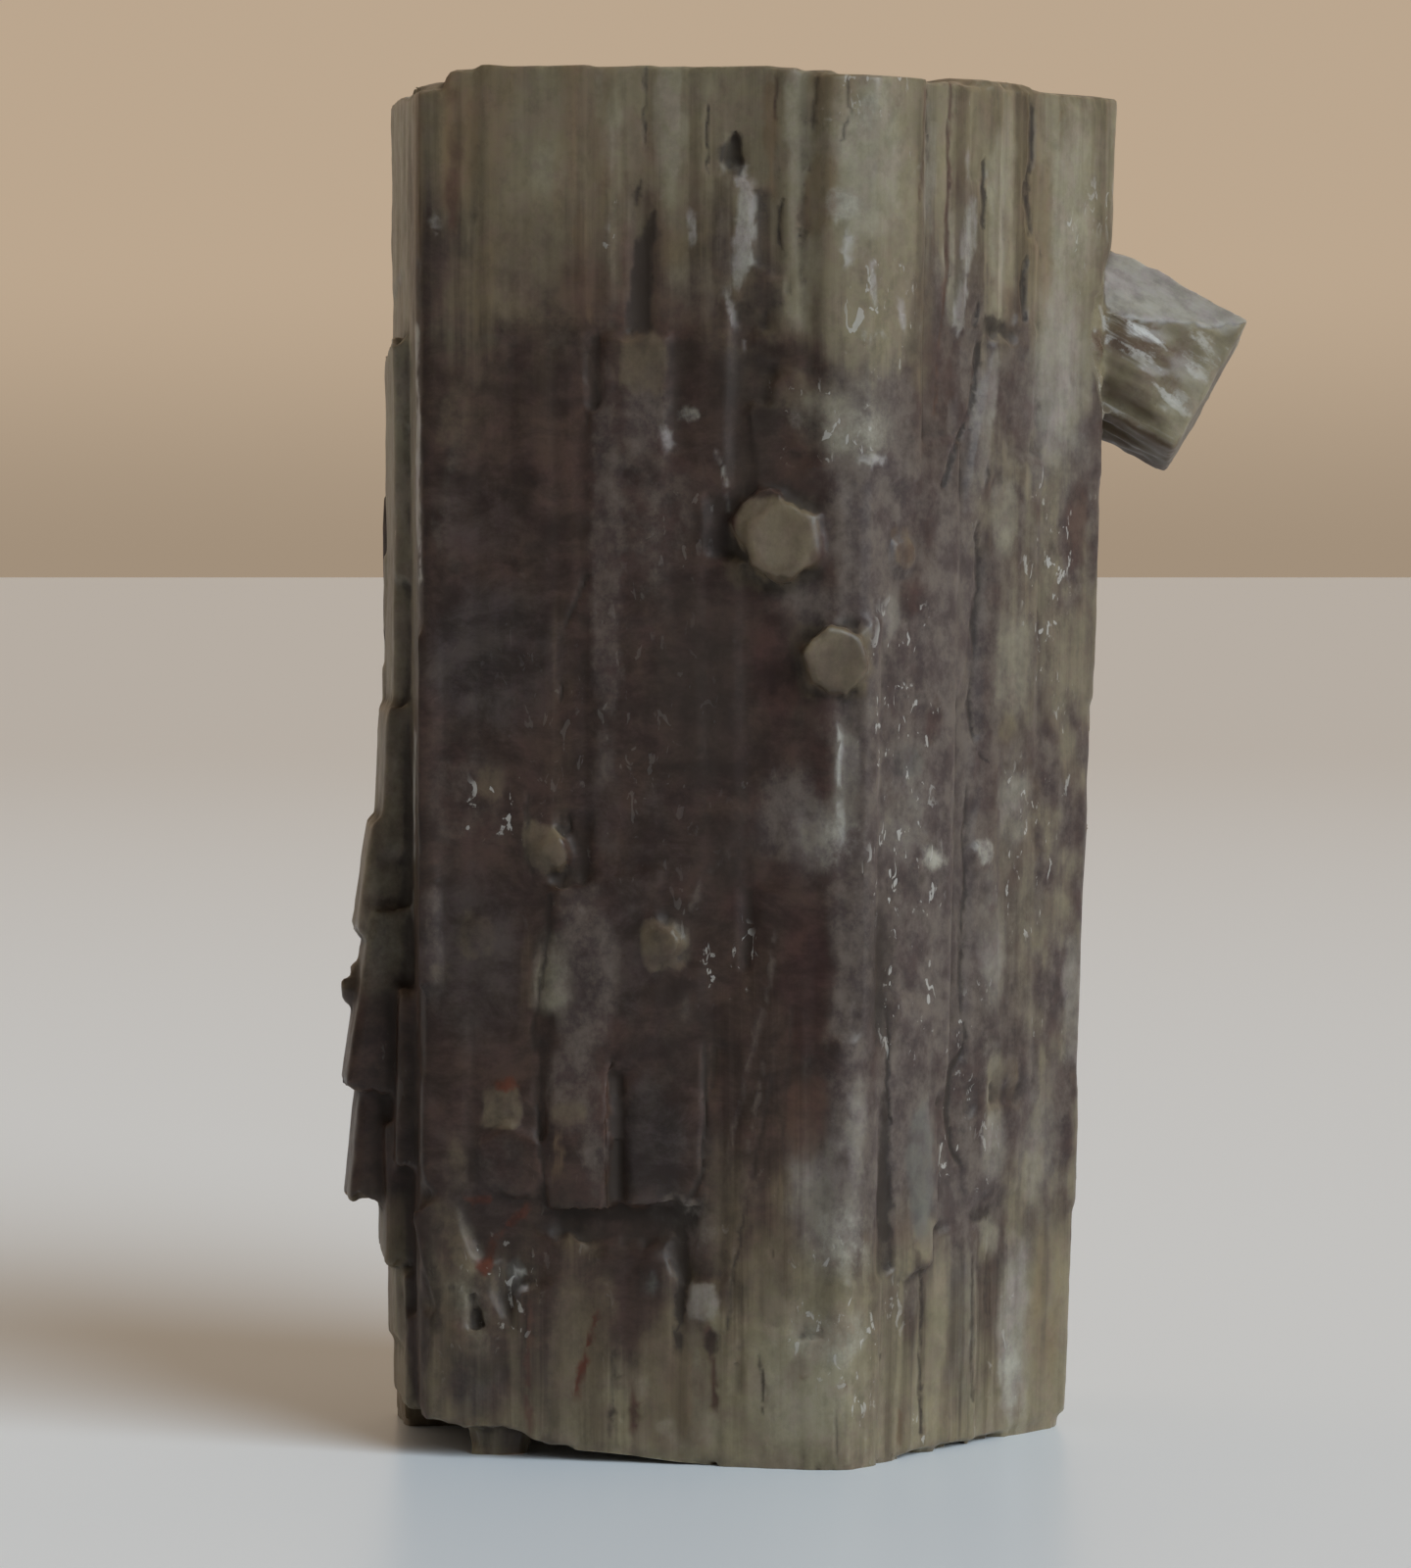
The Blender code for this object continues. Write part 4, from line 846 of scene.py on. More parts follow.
def rebuild(piece, grain):
    """Rebuild the piece as one even closed surface."""
    remesh = piece.modifiers.new("rebuild", "REMESH")
    remesh.mode = "VOXEL"
    remesh.voxel_size = grain
    remesh.adaptivity = 0.0
    applied(piece)


def grown_mesh(shape):
    """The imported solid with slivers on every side, its blades drawn together, as one even surface."""
    bm = bmesh.new()
    bm.from_mesh(bpy.data.objects[COLUMN_NODE].data)
    bmesh.ops.remove_doubles(bm, verts=bm.verts, dist=1e-7)
    tree = BVHTree.FromBMesh(bm)
    rng = random.Random(shape.seed)
    for side in range(len(FOOT_CORNERS)):
        add_slivers(bm, tree, side, shape.slivers, rng)
    piece = new_piece("crystal_column", bm)
    rebuild(piece, shape.grain)
    points, normals = mesh_arrays(piece.data)
    drawn = settle_blades(points, normals, shape.steps)
    store_points(piece.data, points + (drawn - points) * (1.0 - side_crystal_share(points))[:, None])
    points, normals = mesh_arrays(piece.data)
    store_points(piece.data, points + CLOSING * normals)
    rebuild(piece, shape.grain)
    points, normals = mesh_arrays(piece.data)
    store_points(piece.data, points - CLOSING * normals)
    return piece


def side_crystal_share(points):
    """1 on the crystal at the right, 0 on the column."""
    away = points - np.array(SIDE_CRYSTAL_AT)
    axis = np.array(SIDE_CRYSTAL_AXIS)
    along = away @ axis
    off = np.linalg.norm(away - along[:, None] * axis, axis=1)
    return ramp(along, *SIDE_CRYSTAL_STARTS) * (1.0 - ramp(off, *SIDE_CRYSTAL_WIDE))


def at_root(points):
    """1 where the crystal at the right leaves the column, 0 elsewhere."""
    along = (points - np.array(SIDE_CRYSTAL_AT)) @ np.array(SIDE_CRYSTAL_AXIS)
    return 1.0 - ramp(np.abs(along + ROOT_BACK), *ROOT_FADES)


def growth_points(points, on_side_crystal):
    """Points turned so that the grooves' direction is always the third axis."""
    turn = np.array(SIDE_CRYSTAL_AXIS.to_track_quat("Z", "Y").to_matrix())
    return np.where(on_side_crystal[:, None] > 0.5, points @ turn, points)


def groove_share(points, aside):
    """How strongly each point is grooved: most at the clearer ends and on the crystal at the right."""
    patchy = ramp(layered_noise(points, *GROOVE_CLOUDS), -0.3, 0.7)
    ends = np.maximum(ramp(points[:, 2], *TOP_GROOVED), 1.0 - ramp(points[:, 2], *FOOT_GROOVED))
    share = (0.25 + 0.45 * ends) * (0.3 + 0.7 * patchy)
    for patch in STRIATED:
        reach = patch_share(points, patch, 0.0)
        share = share * (1.0 - reach) + patch.strength * reach
    return share * (1.0 - aside) + aside


def settle_blades(points, normals, steps):
    """Draw the blades' steps together and close the gaps between them, except where they stand."""
    proud, outward = stand_out(points)
    up = points[:, 2]
    kept = np.where(outward[:, 0] < LEFTWARD, LEFT_STEPS, steps)
    gaps = GAP_SHARE * np.minimum(proud - GAP_LEVEL, 0.0)
    drawn = FLUSH + kept * (np.maximum(proud, GAP_LEVEL) - FLUSH) + gaps
    near_end = np.maximum(ramp(up, *TOP_FACE), 1.0 - ramp(up, *FOOT_FACE))
    at_end = ramp(np.abs(normals[:, 2]), *FACE_LEVEL) * near_end
    drawn += at_end * (np.minimum(drawn, proud) - drawn)
    standing = np.max([patch.strength * patch_share(points, patch, 0.0) for patch in STANDING], axis=0)
    share = ramp(proud, *GAP_FLOOR) * (1.0 - ramp(proud, *BLADE_TOP)) * (1.0 - standing)
    return points + (share * (drawn - proud))[:, None] * outward


def finish_ends(points, moved):
    """Give the top rim its uneven height, keep the foot flat, and lift and chip its front edge."""
    across, inward, up = points.T
    moved[:, 2] += np.interp(across, *np.array(RIM).T) * ramp(up, *RIM_HEIGHT) * ramp(-inward, *RIM_FRONT)
    moved[:, 2] = np.where(up < FOOT_HELD, np.clip(moved[:, 2], 0.0, None), moved[:, 2])
    foot_front = ramp(-inward, *FOOT_FRONT)
    beside = ramp(across, *CHIP_STARTS) * (1.0 - ramp(across, *CHIP_ENDS)) * foot_front
    moved[:, 2] -= FOOT_DROP * beside * (1.0 - ramp(up, *DROP_ENDS)) * ramp(up, *DROP_STARTS)
    on_nub = np.hypot(across - NUB_AT[0], inward - NUB_AT[1]) < NUB_REACH
    lift = np.where(on_nub, 0.0, FOOT_LIFT * ramp(-across, *LIFT_GROWS) * foot_front)
    moved[:, 2] = np.where(up < FOOT_FLAT, lift, np.maximum(moved[:, 2], lift))


def carve_relief(mesh, shape):
    """Move the points: ragged blade edges and ends, grooves along the growth, seams and chipped edges."""
    points, normals = mesh_arrays(mesh)
    pairs = edge_pairs(mesh)
    aside = side_crystal_share(points)
    inward = hollow_depth(points, normals, pairs, shape.softness)
    inward = inward * (1.0 - ramp(points[:, 2], *TOP_CRISP)) * ramp(points[:, 2], *FOOT_CRISP)
    points = points + normals * inward[:, None]

    grain = growth_points(points, aside)
    upright = 1.0 - np.abs(normals[:, 2]) ** 2
    inside_ends = ramp(points[:, 2], *FOOT_STRAIGHT) * (1.0 - ramp(points[:, 2], *TOP_STRAIGHT))

    wander = shape.wander / MM
    upright_stray = UPRIGHT_STRAY * layered_noise(points, *WANDER_UP) * inside_ends
    sideways = [layered_noise(points, *noise) for noise in WANDER_ACROSS]
    stray = np.stack((*sideways, upright_stray), axis=1) * wander
    stray *= (1.0 - SIDE_STRAIGHT * aside)[:, None]
    outward = (stray * normals).sum(axis=1) * upright
    stray -= STRAY_FLAT * outward[:, None] * normals

    fine = 1.0 - np.abs(smooth_noise(grain, *FINE_GROOVES)) * 2.0
    finer = smooth_noise(grain, *FINER_GROOVES)
    grooves = shape.striae / MM * (fine + 0.7 * finer) * upright * groove_share(points, aside)
    swell = shape.swell / MM * layered_noise(points, *SWELLINGS) * upright * (1.0 - SIDE_CALM * aside)
    rugged = aside * at_root(points) * (1.0 - ramp(normals[:, 2], 0.2, 0.6))
    swell += ROOT_RELIEF * rugged * smooth_noise(grain, *ROOT_LUMPS)

    sharp = np.clip(-hollow_depth(points, normals, pairs, NEAR) / SHARP_EDGE, 0.0, 1.0)
    bite = np.clip(layered_noise(points, *BITES) - 0.15, 0.0, 1.0)
    chips = shape.chipping / MM * sharp * bite

    cut = np.zeros(len(points))
    ragged, breaks = seam_noise(points)
    for seam in SEAMS:
        if seam.deep:
            cut = np.maximum(cut, seam.deep * seam_share(points, seam, ragged, breaks))
    moved = points + stray + normals * (grooves + swell - chips - cut)[:, None]
    finish_ends(points, moved)
    store_points(mesh, moved)


def thinned(piece, most, evenness):
    """Collapse the mesh to at most so many triangles, more readily at the rear and on the column's top."""
    mesh = piece.data
    mesh.calc_loop_triangles()
    triangles = len(mesh.loop_triangles)
    if triangles > most:
        points, normals = mesh_arrays(mesh)
        front = ramp(frontness(points), *DETAILED_FRONT)
        front *= 1.0 - ramp(np.abs(normals[:, 2]), *TOP_LEVEL) * ramp(points[:, 2], *TOP_HEIGHT)
        group = piece.vertex_groups.new(name="readiness")
        for level, weight in enumerate(READINESS):
            members = np.flatnonzero(np.round((1.0 - front) * (len(READINESS) - 1)) == level)
            group.add(members.tolist(), weight, "REPLACE")
        decimate = piece.modifiers.new("thin", "DECIMATE")
        decimate.ratio = most / triangles
        decimate.vertex_group = group.name
        decimate.vertex_group_factor = evenness
        applied(piece)
        piece.vertex_groups.clear()


# Tints -------------------------------------------------------------------

TINTS = (
    "dusk", "slate", "lilac", "wine", "green", "moss", "pale", "mauve", "mist", "amber", "umber", "milk",
    "frost", "rust", "soil", "flaws",
)
OPPOSITES = {
    "dusk": ("green", "pale", "lilac", "amber", "moss"), "wine": ("lilac", "green"), "moss": ("soil",),
    "umber": ("lilac", "wine"), "mist": ("green", "pale"),
}


def zone_weights(points):
    """Broad zones that every side shares: clearer ends, a dusky middle, lilac towards the right, and a left
    side painted lighter, as painted light shining through.
    """
    across, up = points[:, 0], points[:, 2]
    wisps = layered_noise(points, *WISPS)
    cloud = layered_noise(points, *CLOUDS)
    blots = layered_noise(points, *BLOTS)
    front = ramp(frontness(points), *CALM_FRONT)
    top = ramp(up + 2.0 * wisps + 2.5 * cloud, *TOP_ZONE)
    foot = ramp(FOOT_ZONE_TOP - up + 2.0 * wisps + 2.0 * cloud, *FOOT_ZONE)
    ends = np.maximum(top, foot)
    right = ramp(across + 0.5 * cloud + 0.3 * blots, *RIGHT_ZONE)
    # Painted light: the left side takes moss, grey green and pale, lighter, as light shining through it.
    left = ramp(-across, *LEFT_ZONE) * ramp(-points[:, 1] + 0.6 * cloud, -1.5, 1.0)
    zones = {name: np.zeros(len(points)) for name in TINTS}
    panel = ramp(across + 0.2 * blots, *RIGHT_PANEL)
    beyond = 0.10 + 0.42 * panel
    zones["green"] = np.maximum(ends * 0.8, beyond * right * ramp(blots + cloud, -0.6, 0.6))
    clouded = ramp(cloud + 0.5 * blots, -0.1, 0.8) * 0.7 * (1.0 - 0.8 * front)
    zones["lilac"] = np.maximum(clouded, right * (0.85 - 0.30 * panel)) * (1.0 - 0.8 * ends)
    zones["amber"] = ramp(wisps, 0.1, 0.8) * 0.5 * (0.3 + 0.7 * ends)
    zones["slate"] = ramp(-cloud - 0.4 * blots, 0.0, 0.8) * 0.5 * (1.0 - right)
    mossy = ramp(up + 2.5 * wisps + 2.0 * cloud, *MOSSY_ZONE) * 0.38 * (1.0 - 0.5 * right)
    zones["moss"] = np.maximum(mossy, left * ramp(up, 13.0, 24.0) * 0.75)
    zones["green"] = np.maximum(zones["green"], left * ramp(up, 22.0, 34.0))
    zones["pale"] = ramp(blots - 0.5 * wisps, 0.3, 0.9) * 0.25 * ends
    zones["pale"] += left * (0.35 * ramp(up, 15.0, 19.0) + 0.25 * ramp(up, 34.0, 37.0))
    milky = ramp(layered_noise(points, *MILKINESS), 0.55, 1.0)
    zones["milk"] = milky * 0.5 * (1.0 - 0.7 * front)
    # The flaws weight also places the painted glints of the finish.
    zones["flaws"] = ramp(layered_noise(points, *FLAW_CLOUDS), 0.0, 0.8) * (0.25 + 0.35 * right)
    return zones, blots, wisps


def side_crystal_tints(weights, points, normals, pairs, aside):
    """Tints of the crystal at the right: lavender with a painted highlight on top, greenish and glossy
    towards the front with painted glints, and painted shade underneath.
    """
    facing = neighbour_mean(normals, pairs, 12)
    grain = growth_points(points, aside)
    bands = layered_noise(grain, *SIDE_BANDS)
    cloud = layered_noise(points, *SIDE_CLOUDS)
    # The top facets take mauve and a painted highlight, lighter because they face the light.
    upper = ramp(facing[:, 2] + 0.05 * cloud, 0.22, 0.36) * aside
    for name in weights:
        weights[name] = weights[name] * (1.0 - aside)
    lower = aside - upper
    rise = (points - np.array(SIDE_CRYSTAL_AT)) @ np.array(SIDE_CRYSTAL_RISE)
    root = at_root(points) * lower
    recess = root * (1.0 - ramp(np.abs(rise - 0.2), 0.6, 1.5)) * ramp(bands + 0.5 * cloud, -0.6, 0.1)
    # Painted shade: facets that face down are darkened with umber and the dark cleft tint.
    under = ramp(-facing[:, 2], 0.25, 0.5) * aside
    # Painted glints: bright streaks along the growth, near the root and towards the front.
    glints = ramp(bands + 0.7 * cloud, -0.5, 0.1) * (0.45 * lower + 0.55 * root)
    glints *= ramp(facing[:, 2], -0.5, -0.2)
    for name, more in (
        ("mauve", 0.75 * upper), ("frost", 0.40 * upper), ("pale", lower * (0.15 + 0.25 * cloud)),
        ("green", 0.9 * lower), ("umber", 0.6 * recess + 0.5 * under), ("soil", 0.2 * under),
    ):
        weights[name] = weights[name] + more
    weights["glints"] = glints
    weights["gloss"] = weights["gloss"] * (1.0 - aside) + glints


def tint_weights(points, normals, pairs):
    """Weights from 0 to 1 at each point for every tint, and for streaks and gloss."""
    weights, blots, wisps = zone_weights(points)
    aside = side_crystal_share(points)
    ragged = 0.22 * blots + 0.12 * wisps + 0.12 * layered_noise(points, *FRAYING)
    for patch in PATCHES:
        share = patch.strength * patch_share(points, patch, ragged)
        for other in OPPOSITES.get(patch.tint, ()):
            weights[other] *= 1.0 - share
        weights[patch.tint] = np.maximum(weights[patch.tint], share)
    seam_ragged, breaks = seam_noise(points)
    for seam in SEAMS:
        share = seam.strength * seam_share(points, seam, seam_ragged, breaks)
        weights[seam.tint] = np.maximum(weights[seam.tint], share)
    # Painted shade: points in broad and fine hollows take the dark cleft tint.
    deep = hollow_depth(points, normals, pairs, FAR)
    near = hollow_depth(points, normals, pairs, NEAR)
    hollows = np.clip(deep / DEEP_CLEFT, 0.0, 1.0) * 0.65 + np.clip(near / FINE_CLEFT, 0.0, 1.0) * 0.3
    weights["soil"] = np.maximum(weights["soil"], hollows)
    weights["gloss"] = np.clip(-near / WORN_EDGE, 0.0, 1.0) * 0.5
    side_crystal_tints(weights, points, normals, pairs, aside)
    weights["streaks"] = groove_share(points, aside) * (1.0 - 0.7 * aside)
    return {name: np.clip(weight, 0.0, 1.0) for name, weight in weights.items()}


def store_tints(mesh):
    """Keep each tint's weight on the mesh for the finish to read, with the direction of growth."""
    points, normals = mesh_arrays(mesh)
    for name, weight in tint_weights(points, normals, edge_pairs(mesh)).items():
        attribute = mesh.attributes.new(name, "FLOAT", "POINT")
        attribute.data.foreach_set("value", weight.astype(np.float32))
    growth = mesh.attributes.new("growth", "FLOAT_VECTOR", "POINT")
    turned = growth_points(points, side_crystal_share(points)) * MM
    growth.data.foreach_set("vector", turned.astype(np.float32).ravel())


# Material ----------------------------------------------------------------


# Sockets of a colour mix, by number because several of them share a name.
MIX_SHARE, MIX_FIRST, MIX_SECOND, MIX_RESULT = 0, 6, 7, 2

# How far the finish's noise is turned about the growth direction, in radians.
NOISE_TURN = 0.55


class Graph:
    """Short ways to add and join shader nodes."""

    def __init__(self, tree):
        self.nodes = tree.nodes
        self.links = tree.links

    def put(self, socket, value):
        """Link a socket to an output, or set its value."""
        if isinstance(value, bpy.types.NodeSocket):
            self.links.new(value, socket)
        elif socket.type == "RGBA":
            socket.default_value = (*value, 1.0)
        else:
            socket.default_value = value

    def add(self, kind, values=()):
        """A new node of this kind, with some of its sockets linked or set."""
        node = self.nodes.new("ShaderNode" + kind)
        for name, value in dict(values).items():
            self.put(node.inputs[name], value)
        return node

    def attribute(self, name, output="Fac"):
        """Something kept on the mesh."""
        node = self.add("Attribute")
        node.attribute_name = name
        return node.outputs[output]

    def noise(self, scale, detail=3.0, rough=0.55, curl=0.0):
        """Noise from 0 to 1, with so many cells per metre along each axis."""
        place = self.add("Mapping", {
            "Vector": self.attribute("growth", "Vector"), "Scale": scale, "Rotation": (0.0, 0.0, NOISE_TURN),
        }).outputs["Vector"]
        node = self.add("TexNoise", {
            "Vector": place, "Scale": 1.0, "Detail": detail, "Roughness": rough, "Distortion": curl,
        })
        return node.outputs["Fac"]

    def remap(self, value, low, high, to_low=0.0, to_high=1.0):
        """Smoothly remap a value from one range to another."""
        node = self.add("MapRange", {
            "Value": value, "From Min": low, "From Max": high, "To Min": to_low, "To Max": to_high,
        })
        node.interpolation_type = "SMOOTHSTEP"
        return node.outputs["Result"]

    def math(self, operation, first, second):
        """Arithmetic on two values."""
        node = self.add("Math", {0: first, 1: second})
        node.operation = operation
        return node.outputs["Value"]

    def times(self, first, second):
        """Two values multiplied."""
        return self.math("MULTIPLY", first, second)

    def frayed(self, name, fray, amount):
        """A weight kept on the mesh, with its soft edges broken up by noise."""
        weight = self.attribute(name)
        rough = self.times(self.math("SUBTRACT", fray, 0.5), amount * 2.0)
        strayed = self.math("ADD", weight, self.times(rough, self.remap(weight, 0.02, 0.30)))
        return self.remap(strayed, 0.02, 0.98)

    def mix(self, share, first, second, blend="MIX"):
        """Mix two colours."""
        node = self.nodes.new("ShaderNodeMix")
        node.data_type = "RGBA"
        node.blend_type = blend
        node.clamp_result = True
        for socket, value in ((MIX_SHARE, share), (MIX_FIRST, first), (MIX_SECOND, second)):
            self.put(node.inputs[socket], value)
        return node.outputs[MIX_RESULT]

    def tinted(self, body, colour, share=1.0):
        """The body's colour multiplied by another, over a share of it."""
        return self.mix(share, body, self.mix(1.0, body, colour, "MULTIPLY"))

    def bump(self, height, strength, distance, under=()):
        """Bump from a height, over what is under it."""
        values = {"Height": height, "Strength": strength, "Distance": distance, **dict(under)}
        return self.add("Bump", values).outputs["Normal"]


def new_material(name):
    """A new material, the graph of its nodes and its shader."""
    material = bpy.data.materials.new(name)
    material.use_nodes = True
    return material, Graph(material.node_tree), material.node_tree.nodes["Principled BSDF"]


def dimmed(colour, share):
    """The colour, scaled."""
    return tuple(share * part for part in colour)


def grey(level):
    """A grey of this level."""
    return (level, level, level)


# The order in which the tints are laid on the body. For each: the noise that clouds it, its darkest and
# lightest share of its own colour, the noise that frays its edges and by how much.
LAYERS = (
    ("slate", "wisps", 0.62, 1.55, "wisps", 0.9),
    ("dusk", "wisps", 0.65, 1.35, "drift", 0.6),
    ("lilac", "hue", 0.70, 1.26, "hue", 0.6),
    ("green", "drift", 0.86, 1.10, "streaks", 0.6),
    ("moss", "drift", 0.82, 1.12, "drift", 0.6),
    ("pale", "drift", 0.94, 1.05, "drift", 0.5),
    ("mauve", "drift", 0.92, 1.06, "drift", 0.5),
    ("mist", "drift", 0.85, 1.12, "drift", 0.5),
    ("amber", "streaks", 0.85, 1.15, "streaks", 0.6),
    ("umber", "wisps", 0.85, 1.15, "drift", 0.5),
    ("wine", "wisps", 0.65, 1.40, "drift", 0.7),
    ("milk", "hue", 0.75, 1.0, "hue", 0.8),
    # The bright layer: painted highlights, and white flecks.
    ("frost", "hue", 0.90, 1.0, "mottle", 0.3),
    ("rust", "mottle", 0.70, 1.20, "mottle", 0.8),
)


def crystal_finish(colours):
    """Waxy, faintly clouded aragonite: smoky violet in the middle, grey green at both ends."""
    material, g, shader = new_material("aragonite_growth")
    noises = {
        "streaks": g.noise((1300.0, 1300.0, 45.0), detail=5.0, rough=0.6),
        "mottle": g.noise((1700.0, 1700.0, 1400.0), detail=6.0, rough=0.72),
        "drift": g.noise((520.0, 520.0, 480.0), detail=8.0, rough=0.70),
        "wisps": g.noise((430.0, 430.0, 680.0), detail=8.0, rough=0.72, curl=0.25),
        "hue": g.noise((1000.0, 1000.0, 900.0), detail=6.0, rough=0.70),
    }
    streaks, mottle, drift, wisps, hue = noises.values()
    sparks = g.noise((2200.0, 2200.0, 1150.0), detail=2.5, curl=1.0)
    streaky, flawed = g.attribute("streaks"), g.attribute("flaws")

    body = g.mix(g.remap(wisps, 0.36, 0.66), dimmed(colours.violet, 0.60), dimmed(colours.violet, 1.50))
    for name, cloud, dark, light, fray, amount in LAYERS:
        colour = colours.violet if name == "dusk" else getattr(colours, name)
        tone = g.mix(g.remap(noises[cloud], 0.36, 0.64), dimmed(colour, dark), dimmed(colour, light))
        body = g.mix(g.frayed(name, noises[fray], amount), body, tone)
    shade = g.mix(g.remap(mottle, 0.34, 0.66), grey(0.78), grey(1.18))
    body = g.tinted(body, shade, g.remap(flawed, 0.0, 1.0, 0.60, 1.0))
    warmth = g.mix(g.remap(hue, 0.38, 0.62), (1.02, 0.95, 1.03), (0.99, 1.04, 0.96))
    body = g.mix(1.0, body, warmth, "MULTIPLY")
    lines = g.mix(g.remap(streaks, 0.36, 0.62), (0.60, 0.55, 0.50), grey(1.12))
    body = g.tinted(body, lines, g.times(streaky, 0.8))
    # The dark cleft tint: dirt in the cracks, and painted shade in the hollows, frayed by noise.
    body = g.mix(g.times(g.frayed("soil", mottle, 0.7), 0.85), body, colours.soil)
    # Painted glints: small bright specks where the flaws weight is high, and below, bright streaks along the
    # growth where the glints weight is.
    sparkle = g.times(g.remap(sparks, 0.62, 0.645), g.remap(drift, 0.46, 0.52))
    sparkle = g.times(sparkle, g.remap(flawed, 0.1, 0.7))
    body = g.mix(g.times(sparkle, 0.75), body, colours.frost)
    glint = g.times(g.remap(streaks, 0.52, 0.60), g.remap(hue, 0.40, 0.52))
    glint = g.times(glint, g.attribute("glints"))
    body = g.mix(g.times(glint, 0.85), body, colours.frost)

    rough = g.math("ADD", g.remap(mottle, 0.25, 0.75, 0.34, 0.50), g.times(g.attribute("soil"), 0.3))
    rough = g.math("SUBTRACT", rough, g.times(g.attribute("gloss"), 0.18))
    grooves = g.bump(g.times(streaks, streaky), 0.25, 0.05 * MM)
    for name, value in (
        ("Base Color", body), ("Roughness", rough), ("IOR", 1.55), ("Specular IOR Level", 0.2),
        ("Subsurface Weight", 0.75), ("Subsurface Radius", (1.0, 0.85, 0.7)), ("Subsurface Scale", 0.35 * MM),
        ("Normal", g.bump(mottle, 0.18, 0.04 * MM, {"Normal": grooves})),
    ):
        g.put(shader.inputs[name], value)
    return material


# Stage -------------------------------------------------------------------


def floor_material(near, far, reach):
    """A plain pale floor, with painted shade that makes it a little dimmer away from the camera."""
    material, g, shader = new_material("pale_floor")
    parts = g.add("SeparateXYZ", {"Vector": g.add("TexCoord").outputs["Object"]})
    g.put(shader.inputs["Base Color"], g.mix(g.remap(parts.outputs["Y"], 0.0, reach), near, far))
    g.put(shader.inputs["Roughness"], FLOOR_ROUGHNESS)
    return material


def soft_surroundings(look):
    """A warm backdrop, a little darker at its foot, that dims towards the camera's side."""
    world = bpy.data.worlds.new("soft_surroundings")
    world.use_nodes = True
    g = Graph(world.node_tree)
    parts = g.add("SeparateXYZ", {"Vector": g.add("TexCoord").outputs["Generated"]}).outputs
    wall = g.mix(g.remap(parts["Z"], *WALL_FOOT), dimmed(look.wall_colour, WALL_FOOT_SHADE), look.wall_colour)
    colour = g.mix(g.remap(parts["Y"], *WALL_BEGINS), look.room_colour, wall)
    g.put(world.node_tree.nodes["Background"].inputs["Color"], colour)
    return world


def add_wide_light(look):
    """One wide soft light, so far away that it lights the floor evenly."""
    light = bpy.data.lights.new("wide_light", "SUN")
    light.energy = look.key_strength
    light.angle = look.key_spread
    light.color = LIGHT_COLOUR
    lamp = bpy.data.objects.new("wide_light", light)
    flat, rise = math.cos(look.key_height), math.sin(look.key_height)
    source = Vector((flat * math.cos(look.key_bearing), flat * math.sin(look.key_bearing), rise))
    lamp.location = source
    lamp.rotation_euler = source.to_track_quat("Z", "Y").to_euler()
    bpy.context.scene.collection.objects.link(lamp)


def add_camera():
    """The camera, before the broad side and a little above the middle, looking slightly down."""
    camera = bpy.data.cameras.new("camera")
    camera.lens = CAMERA_LENS
    camera.sensor_width = CAMERA_SENSOR
    camera.clip_start = CAMERA_NEAREST
    eye = bpy.data.objects.new("camera", camera)
    eye.location = CAMERA_AT
    eye.rotation_euler = (math.radians(90.0 - CAMERA_DIP), 0.0, 0.0)
    bpy.context.scene.collection.objects.link(eye)
    bpy.context.scene.camera = eye


# Operators ---------------------------------------------------------------


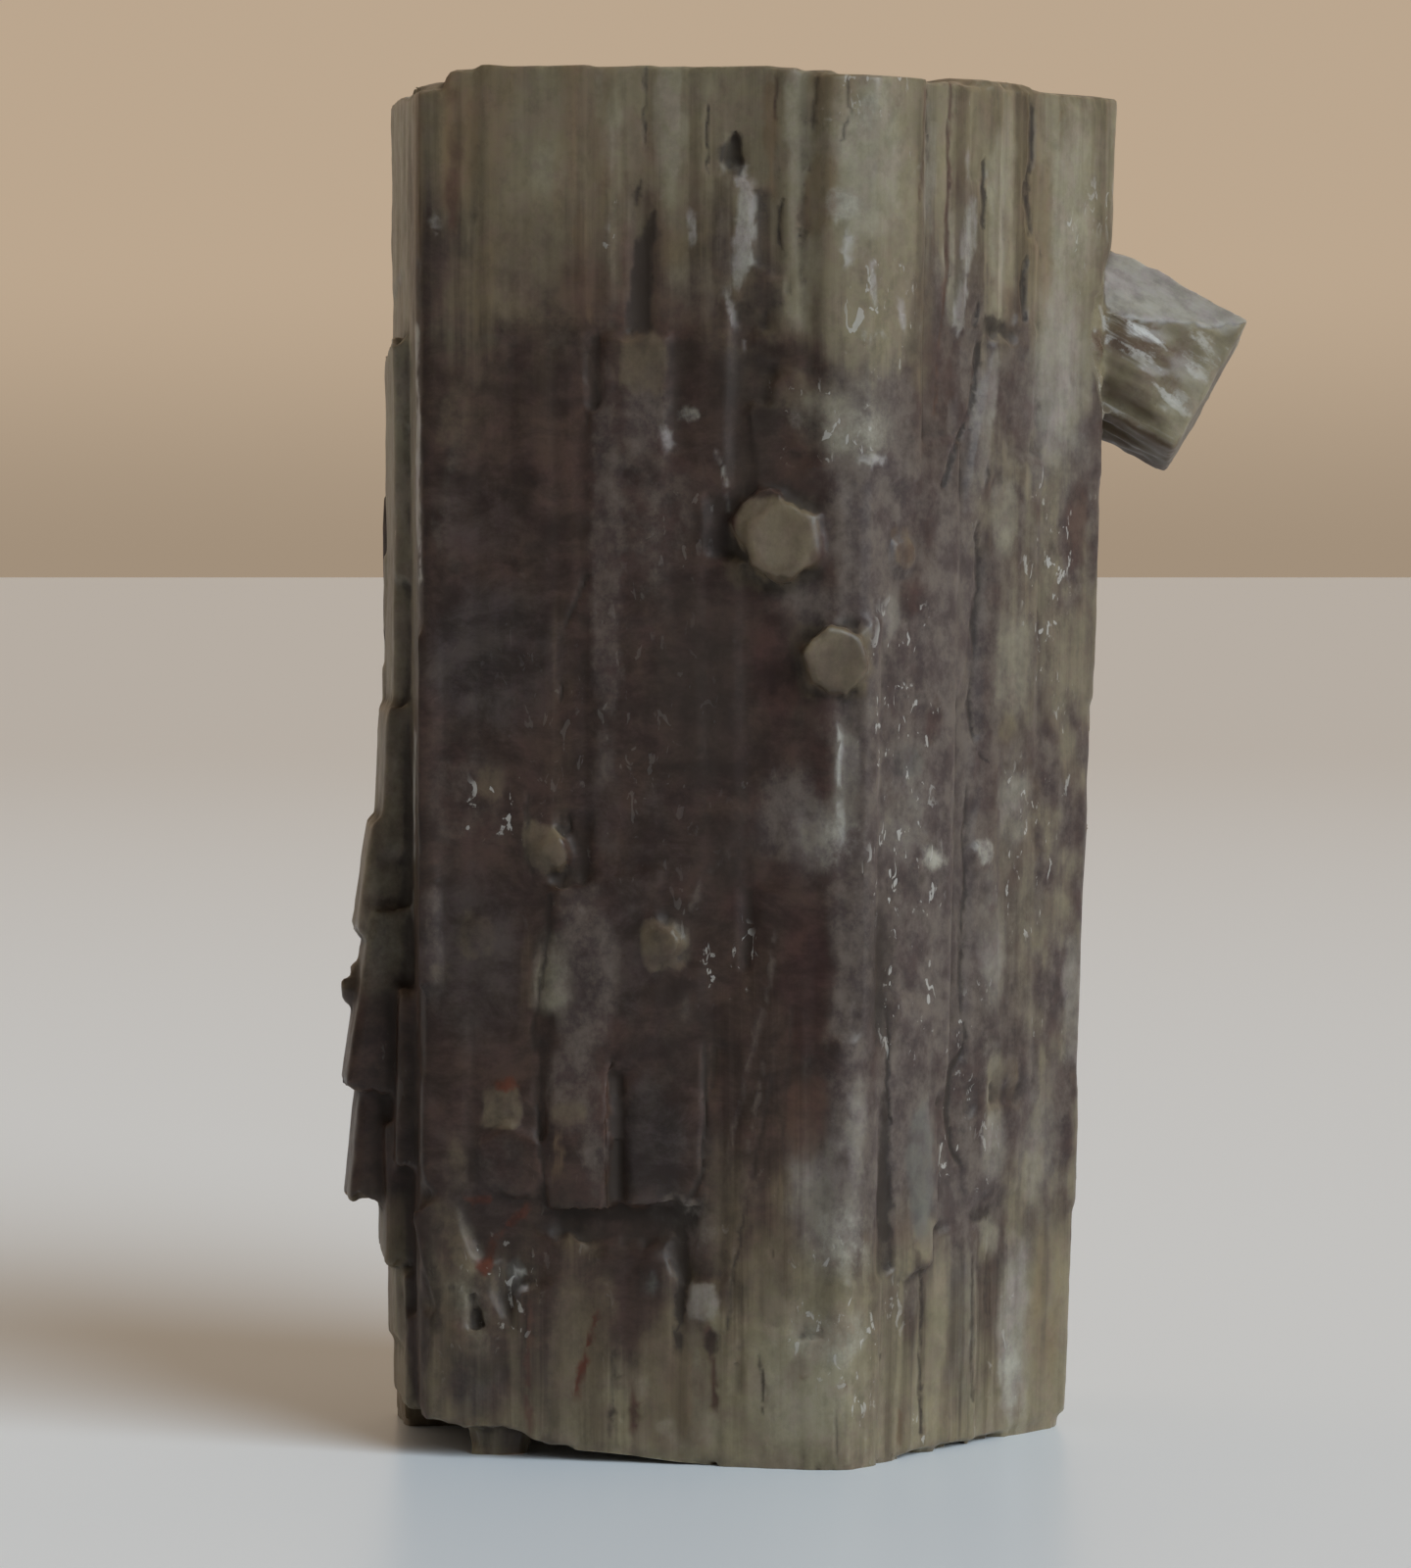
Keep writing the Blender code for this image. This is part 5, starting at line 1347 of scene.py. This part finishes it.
class ARAGONITE_OT_column(bpy.types.Operator):
    """Grow the column, its side crystal and its small crystal ends"""

    bl_idname = "aragonite.column"
    bl_label = "Column"
    bl_options = {"REGISTER", "UNDO"}

    def execute(self, context):
        shape = context.scene.aragonite_shape
        piece = grown_mesh(shape)
        carve_relief(piece.data, shape)
        thinned(piece, shape.faces, shape.evenness)
        store_tints(piece.data)
        piece.data.shade_smooth()
        piece.data.set_sharp_from_angle(angle=SHARP_ANGLE)
        piece.data.materials.clear()
        piece.data.materials.append(crystal_finish(context.scene.aragonite_colours))
        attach(piece, BODY)
        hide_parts(COLUMN_NODE)
        return {"FINISHED"}


class ARAGONITE_OT_stage(bpy.types.Operator):
    """Lay a plain floor, hang soft lights and place the camera"""

    bl_idname = "aragonite.stage"
    bl_label = "Stage"
    bl_options = {"REGISTER", "UNDO"}

    def execute(self, context):
        scene = context.scene
        look = scene.aragonite_stage
        bm = bmesh.new()
        bmesh.ops.create_grid(bm, x_segments=1, y_segments=1, size=FLOOR_HALF)
        floor = new_piece("floor", bm)
        finish = floor_material(look.floor_colour, look.far_floor_colour, look.floor_reach)
        floor.data.materials.append(finish)
        scene.world = soft_surroundings(look)
        add_wide_light(look)
        add_camera()
        scene.view_settings.view_transform = "Standard"
        return {"FINISHED"}


class VIEW3D_PT_aragonite(bpy.types.Panel):
    """Lists the settings and the steps"""

    bl_label = "Aragonite"
    bl_idname = "VIEW3D_PT_aragonite"
    bl_space_type = "VIEW_3D"
    bl_region_type = "UI"
    bl_category = "Aragonite"

    def draw(self, context):
        layout = self.layout
        scene = context.scene
        for group in (scene.aragonite_shape, scene.aragonite_colours, scene.aragonite_stage):
            box = layout.box()
            for name in type(group).__annotations__:
                box.prop(group, name)
        for step in STEPS:
            layout.operator(step.bl_idname)


STEPS = (ARAGONITE_OT_column, ARAGONITE_OT_stage)
GROUPS = {"aragonite_shape": ColumnShape, "aragonite_colours": CrystalColours, "aragonite_stage": StageLook}


def register():
    for group in GROUPS.values():
        bpy.utils.register_class(group)
    for name, group in GROUPS.items():
        setattr(bpy.types.Scene, name, PointerProperty(type=group))
    for step in STEPS:
        bpy.utils.register_class(step)
    bpy.utils.register_class(VIEW3D_PT_aragonite)


def unregister():
    bpy.utils.unregister_class(VIEW3D_PT_aragonite)
    for step in reversed(STEPS):
        bpy.utils.unregister_class(step)
    for name in GROUPS:
        delattr(bpy.types.Scene, name)
    for group in reversed(tuple(GROUPS.values())):
        bpy.utils.unregister_class(group)


def main():
    register()
    bpy.ops.aragonite.column()
    bpy.ops.aragonite.stage()


if __name__ == "__main__":
    main()
